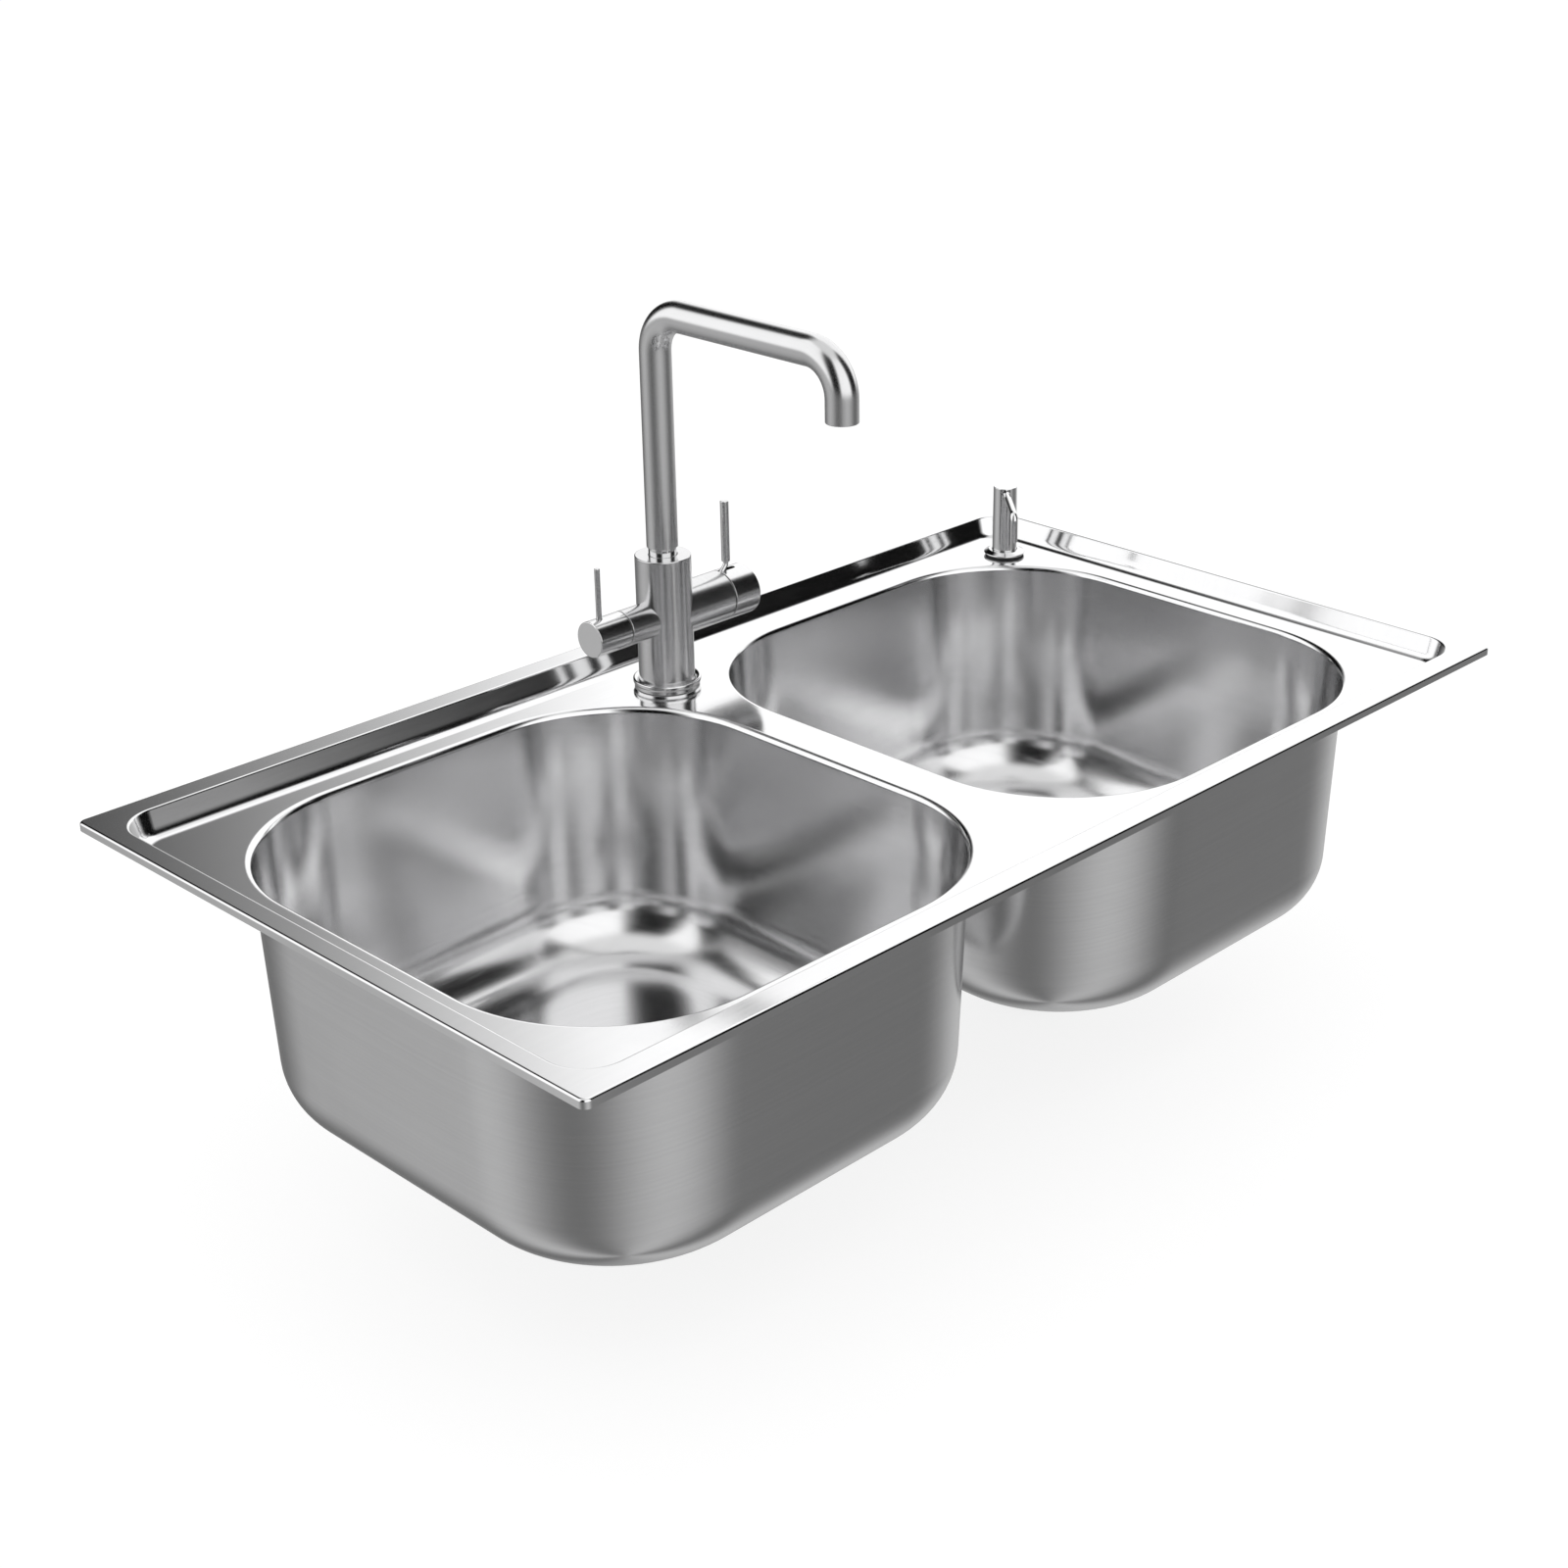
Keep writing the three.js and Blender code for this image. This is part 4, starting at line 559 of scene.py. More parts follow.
class Wiring:
    """Adds nodes to a node tree and joins them up."""

    def __init__(self, tree: bpy.types.NodeTree) -> None:
        """Keep the tree that nodes are added to."""
        self.tree = tree

    def add(self, kind: str, inputs: dict[Any, Any] | None = None,
            **settings: Any) -> bpy.types.Node:
        """Add a node.

        Args:
            kind: the node's type.
            inputs: values or output sockets for its inputs, by name or number.
            settings: its properties.
        Returns:
            The node.
        """
        node = self.tree.nodes.new(kind)
        for name, value in settings.items():
            setattr(node, name, value)
        return self.feed(node, inputs or {})

    def feed(self, node: bpy.types.Node, inputs: dict[Any, Any]) -> bpy.types.Node:
        """Set a node's inputs, by name or number, to values or join them to output sockets."""
        for key, value in inputs.items():
            if isinstance(value, bpy.types.NodeSocket):
                self.tree.links.new(value, node.inputs[key])
            else:
                node.inputs[key].default_value = value
        return node

    def bump(self, height: Any, strength: float, distance: float) -> bpy.types.NodeSocket:
        """A surface normal bent by a height, over a distance in millimetres."""
        return self.add("ShaderNodeBump", {"Height": height, "Strength": strength,
                                           "Distance": distance * MM}).outputs[0]

    def maths(self, operation: str, *values: Any) -> bpy.types.NodeSocket:
        """The result of a Math node."""
        return self.add("ShaderNodeMath", dict(enumerate(values)), operation=operation).outputs[0]

    def spread(self, value: Any, low: float, high: float, to_low: float = 0.0,
               to_high: float = 1.0, smooth: bool = False) -> bpy.types.NodeSocket:
        """A value carried from one range to another, kept inside it."""
        kind = "SMOOTHSTEP" if smooth else "LINEAR"
        node = self.add("ShaderNodeMapRange", {0: value, 1: low, 2: high, 3: to_low, 4: to_high},
                        interpolation_type=kind, clamp=True)
        return node.outputs[0]

    def mixed(self, factor: Any, first: Any, second: Any) -> bpy.types.NodeSocket:
        """A number between two, by a factor."""
        node = self.add("ShaderNodeMix", {0: factor, 2: first, 3: second}, data_type="FLOAT")
        return node.outputs[0]

    def tinted(self, factor: Any, first: Any, second: Any) -> bpy.types.NodeSocket:
        """A colour between two, by a factor."""
        node = self.add("ShaderNodeMix", {0: factor, 6: first, 7: second}, data_type="RGBA")
        return node.outputs[2]


class Effect(Enum):
    """Surface effects that several finishes share."""

    LINES = "brushed_lines"
    MOTTLE = "soft_mottle"
    GRIT = "fine_grit"

    def tree(self) -> bpy.types.NodeTree:
        """The effect's node group, made the first time that it is asked for."""
        known = bpy.data.node_groups.get(self.value)
        return known or {Effect.LINES: _lines_group, Effect.MOTTLE: _mottle_group,
                         Effect.GRIT: _grit_group}[self]()

    def placed(self, wiring: Wiring, inputs: dict[str, Any]) -> bpy.types.Node:
        """The effect as a node in a material, with its own values."""
        node = wiring.tree.nodes.new("ShaderNodeGroup")
        node.node_tree = self.tree()
        return wiring.feed(node, inputs)


def _group(effect: Effect, inputs: Sequence[tuple[str, str]],
           outputs: Sequence[str]) -> tuple[Wiring, bpy.types.Node, bpy.types.Node]:
    """An empty node group with its sockets.

    Args:
        effect: whose group it is.
        inputs: each input's name and kind of socket.
        outputs: the names of its number outputs.
    Returns:
        The wiring, the group's input node and its output node.
    """
    tree = bpy.data.node_groups.new(effect.value, "ShaderNodeTree")
    for name, kind in inputs:
        tree.interface.new_socket(name=name, in_out="INPUT", socket_type=kind)
    for name in outputs:
        tree.interface.new_socket(name=name, in_out="OUTPUT", socket_type="NodeSocketFloat")
    wiring = Wiring(tree)
    return wiring, wiring.add("NodeGroupInput"), wiring.add("NodeGroupOutput")


def _lines_group() -> bpy.types.NodeTree:
    """Long thin lines: noise whose place is stretched, fine across the grain and slow along it."""
    wiring, given, out = _group(
        Effect.LINES, [("Grain", "NodeSocketVector"), ("Across", "NodeSocketFloat"),
                       ("Along", "NodeSocketFloat")], ["Fine", "Broad"])
    stretch = wiring.add("ShaderNodeCombineXYZ", {0: given.outputs["Across"],
                                                  1: given.outputs["Along"],
                                                  2: given.outputs["Along"]})
    place = wiring.add("ShaderNodeVectorMath", {0: given.outputs["Grain"], 1: stretch.outputs[0]},
                       operation="MULTIPLY")
    fine = wiring.add("ShaderNodeTexNoise", {"Vector": place.outputs[0], "Scale": 1.0,
                                             "Detail": 4.0, "Roughness": 0.7})
    broad = wiring.add("ShaderNodeTexNoise", {"Vector": place.outputs[0], "Scale": 0.11,
                                              "Detail": 2.0, "Roughness": 0.6})
    wiring.feed(out, {"Fine": fine.outputs[0], "Broad": broad.outputs[0]})
    return wiring.tree


def _mottle_group() -> bpy.types.NodeTree:
    """Cloudy change over a hand's breadth, as drawn and polished sheet has."""
    wiring, given, out = _group(
        Effect.MOTTLE, [("Place", "NodeSocketVector"), ("Scale", "NodeSocketFloat")], ["Cloud"])
    noise = wiring.add("ShaderNodeTexNoise", {"Vector": given.outputs["Place"],
                                              "Scale": given.outputs["Scale"], "Detail": 3.0,
                                              "Roughness": 0.55, "Distortion": 0.6})
    wiring.feed(out, {"Cloud": wiring.spread(noise.outputs[0], 0.3, 0.7, smooth=True)})
    return wiring.tree


def _grit_group() -> bpy.types.NodeTree:
    """The fine tooth of a moulded or cast face: small noise with smaller cells in it."""
    wiring, given, out = _group(
        Effect.GRIT, [("Place", "NodeSocketVector"), ("Scale", "NodeSocketFloat")], ["Height"])
    noise = wiring.add("ShaderNodeTexNoise", {"Vector": given.outputs["Place"],
                                              "Scale": given.outputs["Scale"], "Detail": 4.0})
    cells = wiring.add("ShaderNodeTexVoronoi", {"Vector": given.outputs["Place"],
                                                "Scale": given.outputs["Scale"]})
    wiring.feed(out, {"Height": wiring.mixed(0.35, noise.outputs[0], cells.outputs["Distance"])})
    return wiring.tree


# ---------------------------------------------------------------- finishes


Colour = tuple[float, float, float]


@dataclass(frozen=True)
class Finish:
    """A finish whose material is made the first time that a piece asks for it."""

    name: str
    colour: Colour

    def material(self) -> bpy.types.Material:
        """The finish's material."""
        known = bpy.data.materials.get(self.name)
        if known:
            return known
        material = bpy.data.materials.new(self.name)
        material.use_nodes = True
        self.paint(Wiring(material.node_tree), material.node_tree.nodes["Principled BSDF"])
        return material

    def paint(self, wiring: Wiring, shader: bpy.types.Node) -> None:
        """Wire up the finish; each kind of finish has its own way."""
        raise NotImplementedError

    def tones(self, shade: float) -> tuple[tuple[float, ...], tuple[float, ...]]:
        """The colour as it is and the colour darkened by a share."""
        return (*self.colour, 1.0), (*(part * (1 - shade) for part in self.colour), 1.0)


@dataclass(frozen=True)
class Metal(Finish):
    """A metal with lines left by its brushing or turning, and a soft cloudiness.

    across and along are the lines' noise scales per millimetre; lines, mottle and bump say how much
    they change the roughness, the colour and the surface.
    """

    roughness: float
    across: float = 6.0
    along: float = 0.02
    lines: float = 0.04
    mottle: float = 0.02
    shade: float = 0.06
    bump: float = 0.02
    on_object: bool = False

    def paint(self, wiring: Wiring, shader: bpy.types.Node) -> None:
        """Wire up the finish."""
        place = wiring.add("ShaderNodeTexCoord").outputs["Object"]
        if self.on_object:
            grain = wiring.add("ShaderNodeVectorMath", {0: place, "Scale": 1 / MM},
                               operation="SCALE").outputs[0]
        else:
            grain = wiring.add("ShaderNodeAttribute", attribute_name="grain").outputs["Vector"]
        lines = Effect.LINES.placed(wiring, {"Grain": grain, "Across": self.across,
                                             "Along": self.along})
        cloud = Effect.MOTTLE.placed(wiring, {"Place": place, "Scale": 14.0}).outputs["Cloud"]
        shiny, dull = self.roughness - self.lines - self.mottle, self.roughness + self.lines
        streak = wiring.spread(lines.outputs["Fine"], 0.3, 0.7, shiny, dull)
        rough = wiring.maths("ADD", streak, wiring.maths("MULTIPLY", cloud, self.mottle))
        pale, deep = self.tones(self.shade)
        tone = wiring.mixed(0.5, wiring.spread(lines.outputs["Broad"], 0.35, 0.65), cloud)
        wiring.feed(shader, {
            "Roughness": rough, "Base Color": wiring.tinted(tone, pale, deep), "Metallic": 1.0,
            "Normal": wiring.bump(lines.outputs["Fine"], self.bump, 0.1)})


@dataclass(frozen=True)
class Moulded(Finish):
    """A rubber or plastic with the fine tooth of its mould."""

    roughness: float
    tooth: float = 900.0
    bump: float = 0.15
    shade: float = 0.12

    def paint(self, wiring: Wiring, shader: bpy.types.Node) -> None:
        """Wire up the finish."""
        place = wiring.add("ShaderNodeTexCoord").outputs["Object"]
        grit = Effect.GRIT.placed(wiring, {"Place": place, "Scale": self.tooth}).outputs["Height"]
        cloud = Effect.MOTTLE.placed(wiring, {"Place": place, "Scale": 40.0}).outputs["Cloud"]
        pale, deep = self.tones(self.shade)
        rough = wiring.spread(grit, 0.2, 0.8, self.roughness - 0.06, self.roughness + 0.06)
        wiring.feed(shader, {"Roughness": rough, "Base Color": wiring.tinted(cloud, pale, deep),
                             "Normal": wiring.bump(grit, self.bump, 0.2)})


@dataclass(frozen=True)
class ZincPlate(Finish):
    """Zinc plate: crystals that catch the light differently, with a faint yellow passivation."""

    colour: Colour = (0.55, 0.56, 0.57)
    yellow: Colour = (0.58, 0.55, 0.46)

    def paint(self, wiring: Wiring, shader: bpy.types.Node) -> None:
        """Wire up the finish."""
        place = wiring.add("ShaderNodeTexCoord").outputs["Object"]
        crystals = wiring.add("ShaderNodeTexVoronoi", {"Vector": place, "Scale": 260.0})
        cloud = Effect.MOTTLE.placed(wiring, {"Place": place, "Scale": 45.0}).outputs["Cloud"]
        grit = Effect.GRIT.placed(wiring, {"Place": place, "Scale": 1200.0}).outputs["Height"]
        tint = wiring.tinted(cloud, (*self.colour, 1.0), (*self.yellow, 1.0))
        rough = wiring.spread(crystals.outputs["Distance"], 0.0, 0.8, 0.34, 0.52)
        wiring.feed(shader, {"Roughness": rough, "Base Color": tint, "Metallic": 1.0,
                             "Normal": wiring.bump(grit, 0.2, 0.1)})


STEEL: Colour = (0.82, 0.82, 0.825)
DECK_POLISH = Metal("deck_polish", STEEL, 0.12, across=2.0, lines=0.01, mottle=0.02, shade=0.03,
                    bump=0.003)
BOWL_SATIN = Metal("bowl_satin", (0.79, 0.79, 0.795), 0.18, across=5.0, lines=0.02, mottle=0.02,
                   shade=0.05, bump=0.008)
FITTING_POLISH = Metal("fitting_polish", STEEL, 0.1, lines=0.02, mottle=0.01, bump=0.005)
CAP_POLISH = Metal("cap_polish", STEEL, 0.16, lines=0.02, mottle=0.02, bump=0.008)
TAP_BRUSHED = Metal("tap_brushed", (0.74, 0.74, 0.745), 0.2, lines=0.03, mottle=0.02, shade=0.07,
                    bump=0.015)
SPOUT_BRUSHED = Metal("spout_brushed", (0.74, 0.74, 0.745), 0.2, across=0.02, along=5.0,
                      lines=0.03, mottle=0.02, shade=0.07, bump=0.015)
BASKET_STEEL = Metal("basket_steel", STEEL, 0.18, lines=0.04, mottle=0.03, bump=0.03)
TURNED_BRASS = Metal("turned_brass", (0.78, 0.6, 0.31), 0.3, across=3.0, lines=0.07, mottle=0.06,
                     shade=0.16, bump=0.08)
BRASS_INSIDE = Metal("brass_inside", (0.78, 0.6, 0.31), 0.3, across=3.0, along=3.0, lines=0.07,
                     mottle=0.06, shade=0.16, bump=0.08, on_object=True)
SPRING_STEEL = Metal("spring_steel", (0.7, 0.7, 0.71), 0.22, lines=0.04, bump=0.02)
ZINC = ZincPlate("zinc_plated_steel")
RUBBER = Moulded("black_rubber_compound", (0.022, 0.022, 0.024), 0.72, tooth=700.0, bump=0.3)
GREY_PLASTIC = Moulded("grey_moulding", (0.27, 0.28, 0.29), 0.48)
WHITE_PLASTIC = Moulded("white_moulding", (0.8, 0.8, 0.79), 0.42, shade=0.05)
FIBRE = Moulded("fibre_washer_board", (0.3, 0.075, 0.045), 0.8, tooth=420.0, bump=0.5, shade=0.3)


# ---------------------------------------------------------------- publishing pieces


def baked(piece: bpy.types.Object) -> None:
    """Apply a piece's modifiers to its mesh and mark the edges that stay crisp."""
    view = bpy.context.evaluated_depsgraph_get()
    mesh = bpy.data.meshes.new_from_object(piece.evaluated_get(view))
    piece.modifiers.clear()
    piece.data = mesh
    mesh.name = piece.name
    mesh.shade_smooth()
    mesh.set_sharp_from_angle(angle=SHARP_ANGLE)


UNDER_DECK = frozenset({
    "tap_shank", "tap_washer", "tap_clamp_plate", "tap_nut", "cold_inlet", "hot_inlet",
    "filter_inlet", "dispenser_washer", "dispenser_nut", "soap_bottle"})
"""The CAD nodes under the deck: like the deck, their pieces stay out of every reflection."""


def make(name: str, surface: Surface, finish: Finish, body: Body, stands_for: str,
         sheet: float = 0.0, cutters: Sequence[Surface] = (),
         regrain: Callable[[np.ndarray], np.ndarray] | None = None) -> bpy.types.Object:
    """Make a surface into a finished piece that rides on its body.

    Args:
        name: the piece's name.
        surface: its shape.
        finish: its material.
        body: the body that carries it.
        stands_for: the CAD node that it replaces.
        sheet: the thickness that a sheet gets behind its faces, or 0 for a solid.
        cutters: closed shapes that are taken out of it.
        regrain: works out the finish's places from the points, for a piece that is cut.
    Returns:
        The piece.
    """
    piece = _plain(name, surface)
    piece.data.materials.append(finish.material())
    if sheet:
        solid = piece.modifiers.new("sheet", "SOLIDIFY")
        solid.thickness, solid.offset, solid.use_even_offset = sheet * MM, -1, True
    tools = [_plain(f"{name}_cutter_{k}", cutter) for k, cutter in enumerate(cutters)]
    for tool in tools:
        cut = piece.modifiers.new("cut", "BOOLEAN")
        cut.operation, cut.solver, cut.object = "DIFFERENCE", "EXACT", tool
    baked(piece)
    for tool in tools:
        bpy.data.objects.remove(tool)
    if regrain:
        _regrain(piece.data, regrain)
    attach(piece, body.value)
    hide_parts(stands_for)
    piece.visible_glossy = stands_for not in UNDER_DECK
    LOG.info("%s: %d faces, on %s", name, len(piece.data.polygons), body.value)
    return piece


def _plain(name: str, surface: Surface) -> bpy.types.Object:
    """A surface as a bare mesh object in metres, with its grain as an attribute."""
    mesh = bpy.data.meshes.new(name)
    faces = [face for block in surface.faces for face in block.tolist()]
    mesh.from_pydata((surface.points * MM).tolist(), [], faces)
    grain = mesh.attributes.new("grain", "FLOAT_VECTOR", "POINT")
    grain.data.foreach_set("vector", surface.grain.astype(np.float32).ravel())
    mesh.update()
    piece = bpy.data.objects.new(name, mesh)
    bpy.context.scene.collection.objects.link(piece)
    return piece


def _regrain(mesh: bpy.types.Mesh, places: Callable[[np.ndarray], np.ndarray]) -> None:
    """Write the grain attribute anew from the points' places, in millimetres."""
    points = np.zeros(len(mesh.vertices) * 3, np.float32)
    mesh.vertices.foreach_get("co", points)
    grain = mesh.attributes.get("grain") or mesh.attributes.new("grain", "FLOAT_VECTOR", "POINT")
    values = places(points.reshape(-1, 3) / MM).astype(np.float32)
    grain.data.foreach_set("vector", values.ravel())


def round_z(x: float, y: float) -> Callable[[np.ndarray], np.ndarray]:
    """Grain round a vertical axis: z - r across the lines, x and y along them."""
    def places(points: np.ndarray) -> np.ndarray:
        """The finish's place of each point."""
        dx, dy = points[:, 0] - x, points[:, 1] - y
        return np.stack([points[:, 2] - np.hypot(dx, dy), dx, dy], -1)
    return places


def round_x(y: float, z: float) -> Callable[[np.ndarray], np.ndarray]:
    """Grain round an axis along X: x - r across the lines, y and z along them."""
    def places(points: np.ndarray) -> np.ndarray:
        """The finish's place of each point."""
        dy, dz = points[:, 1] - y, points[:, 2] - z
        return np.stack([points[:, 0] - np.hypot(dy, dz), dy, dz], -1)
    return places


# ---------------------------------------------------------------- deck and bowls


@dataclass
class PressedDeck:
    """The pressed deck: raised rim, recess inside it, a flat sheet and two rolled openings."""

    length: float = 800.0
    width: float = 450.0
    lip_roll: float = 1.6
    rim_corner: float = 5.0
    rim_at_ends: float = 12.0
    rim_at_front: float = 15.5
    recess_corner: float = 26.0
    recess_roll: float = 1.6
    recess_fillet: float = 8.0
    recess_draft: float = math.radians(17)
    land: float = 3.0
    bowl_length: float = 351.0
    bowl_width: float = 371.0
    bowl_corner: float = 108.0
    bowl_roll: float = 4.0
    tap_hole: tuple[float, float, float] = (TAP_X, TAP_Y, 17.5)
    dispenser_hole: tuple[float, float, float] = (DISPENSER_X, DISPENSER_Y, 12.6)
    seal_width: float = 6.0

    def rim_ring(self, inset: float, height: float) -> np.ndarray:
        """The rim's outline moved inwards, at a height."""
        return at_height(rounded_rectangle(self.length / 2 - inset, self.width / 2 - inset,
                                           max(self.rim_corner - inset, 0.5)), height)

    def recess_ring(self, inset: float, height: float) -> np.ndarray:
        """The recess's outline moved inwards, at a height."""
        return at_height(rounded_rectangle(self.length / 2 - self.rim_at_ends - inset,
                                           self.width / 2 - self.rim_at_front - inset,
                                           self.recess_corner - inset), height)

    def bowl_ring(self, inset: float, height: float) -> np.ndarray:
        """A bowl opening's outline moved inwards, at a height."""
        return at_height(rounded_rectangle(self.bowl_length / 2 - inset,
                                           self.bowl_width / 2 - inset,
                                           self.bowl_corner - inset), height)

    def _rim(self) -> tuple[Surface, np.ndarray]:
        """The sheet from the lip's foot in to the flat deck, and the flat deck's outline.

        The lip is a wall and a quarter roll, the rim is flat, and the recess wall leans in by its
        draft between a roll above and a fillet below.
        """
        rings = [self.rim_ring(0, 0), self.rim_ring(0, RIM_TOP - self.lip_roll - 0.2)]
        for angle in np.linspace(0, np.pi / 2, 7):
            rings.append(self.rim_ring(self.lip_roll * (1 - math.cos(angle)),
                                       RIM_TOP - self.lip_roll * (1 - math.sin(angle))))
        rings += [self.rim_ring(self.lip_roll + 0.3, RIM_TOP), self.recess_ring(-0.3, RIM_TOP)]
        for angle in np.linspace(0, np.pi / 2 - self.recess_draft, 7):
            rings.append(self.recess_ring(self.recess_roll * math.sin(angle),
                                          RIM_TOP - self.recess_roll * (1 - math.cos(angle))))
        arcs = self.recess_roll + self.recess_fillet
        run = RIM_TOP - DECK_TOP - arcs * (1 - math.sin(self.recess_draft))
        flat = arcs * math.cos(self.recess_draft) + run * math.tan(self.recess_draft)
        for angle in np.linspace(self.recess_draft, np.pi / 2, 9):
            rings.append(self.recess_ring(flat - self.recess_fillet * math.cos(angle),
                                          DECK_TOP + self.recess_fillet * (1 - math.sin(angle))))
        rings += [self.recess_ring(inset, DECK_TOP) for inset in (flat + 0.4, flat + self.land)]
        stacked = np.stack(rings)
        return skin(stacked, stacked[:, :, [1, 0, 2]]).upward(), rings[-1][:, :2]

    def _roll(self, side: Side) -> tuple[Surface, np.ndarray]:
        """One opening's rolled edge, a quarter circle into the bowl, and its outer outline."""
        rings = [self.bowl_ring(-self.land, DECK_TOP), self.bowl_ring(-0.4, DECK_TOP)]
        for angle in np.linspace(0, np.pi / 2, 11):
            rings.append(self.bowl_ring(self.bowl_roll * math.sin(angle),
                                        DECK_TOP - self.bowl_roll * (1 - math.cos(angle))))
        stacked = np.stack(rings) + np.array([side.value, 0, 0])
        return skin(stacked, stacked[:, :, [1, 0, 2]]).upward(), stacked[0][:, :2]

    def _seal(self) -> Surface:
        """The seal under the rim: a closed strip whose section has rounded corners."""
        outer = SHEET + SEAT_GAP
        inner = outer + self.seal_width
        top = RIM_TOP - SHEET - SEAT_GAP
        section = rounded([(outer, 0, 0.4), (outer, top, 0.8), (inner, top, 0.5), (inner, 0, 0.4)])
        rings = np.stack([self.rim_ring(inset, height) for inset, height in section])
        return skin(rings, rings[:, :, [2, 0, 1]], loop=True).outward()

    def build(self) -> None:
        """Make the deck and the seal under its rim."""
        rim, outline = self._rim()
        rolls = [self._roll(side) for side in Side]
        holes = [circle(radius, (x, y), 64)
                 for x, y, radius in (self.tap_hole, self.dispenser_hole)]
        flat = plate(outline, [edge for _, edge in rolls] + holes, DECK_TOP)
        deck = joined(rim, flat, *(roll for roll, _ in rolls)).welded()
        sheet = make("pressed_deck", deck, DECK_POLISH, Body.SINK, "sink_deck",
                     sheet=SHEET)
        sheet.visible_glossy = False
        seal = make("rim_seal_strip", self._seal(), RUBBER, Body.SINK, "rim_seal")
        seal.visible_glossy = False


@dataclass
class DrawnBowl:
    """One deep-drawn bowl: drafted walls, a large fillet, a floor that falls to its waste hole."""

    side: Side
    deck: PressedDeck
    depth: float = 169.0
    draft: float = math.radians(2.6)
    fillet: float = 43.0
    fall: float = 1.5
    dish_radius: float = 56.5
    dish_depth: float = 2.6
    hole_radius: float = 44.5
    floor_steps: int = 14

    def _rings(self) -> np.ndarray:
        """Rings from the weld under the deck's roll to the waste hole.

        The wall's inset grows with the draft's tangent, and the fillet is an arc that ends flat.
        Floor rings lie between the fillet's last ring and a circle, point to point at equal angles.
        """
        deck, floor = self.deck, DECK_TOP - self.depth
        top = DECK_TOP - deck.bowl_roll
        start = floor + self.fillet * (1 - math.sin(self.draft))
        inset = deck.bowl_roll + (top - start) * math.tan(self.draft)
        centre = inset + self.fillet * math.cos(self.draft)
        rings = [deck.bowl_ring(deck.bowl_roll + (inset - deck.bowl_roll) * share,
                                top + (start - top) * share) for share in np.linspace(0, 1, 7)[:-1]]
        for angle in np.linspace(self.draft, np.pi / 2, 22):
            rings.append(deck.bowl_ring(centre - self.fillet * math.cos(angle),
                                        floor + self.fillet * (1 - math.sin(angle))))
        edge = rings[-1]
        angle = np.arctan2(edge[:, 1], edge[:, 0])
        around = np.stack([np.cos(angle), np.sin(angle)], -1)
        low = floor - self.fall
        for share in np.linspace(0, 1, self.floor_steps)[1:-1]:
            place = edge[:, :2] + share * (around * (self.dish_radius + 3) - edge[:, :2])
            rings.append(at_height(place, floor - self.fall * share ** 1.4))
        section = rounded([(self.dish_radius + 4.5, low + 0.06, 0), (self.dish_radius + 3, low, 4),
                           (self.dish_radius, low - self.dish_depth, 1.5),
                           (self.hole_radius, low - self.dish_depth, 0)], closed=False, steps=6)
        rings += [at_height(around * radius, height) for radius, height in section]
        return np.stack(rings)

    def build(self) -> None:
        """Make the bowl."""
        rings = self._rings()
        x, y, z = (rings[:, :, k] for k in range(3))
        reach = (np.abs(x) ** 4 + np.abs(y) ** 4) ** 0.25
        shape = skin(rings, np.stack([z - reach, x, y], -1)).upward().moved(self.side.value, 0, 0)
        make(f"{self.side.word}_drawn_bowl", shape, BOWL_SATIN, Body.SINK,
             f"{self.side.word}_bowl", sheet=SHEET)


# ---------------------------------------------------------------- waste outlets


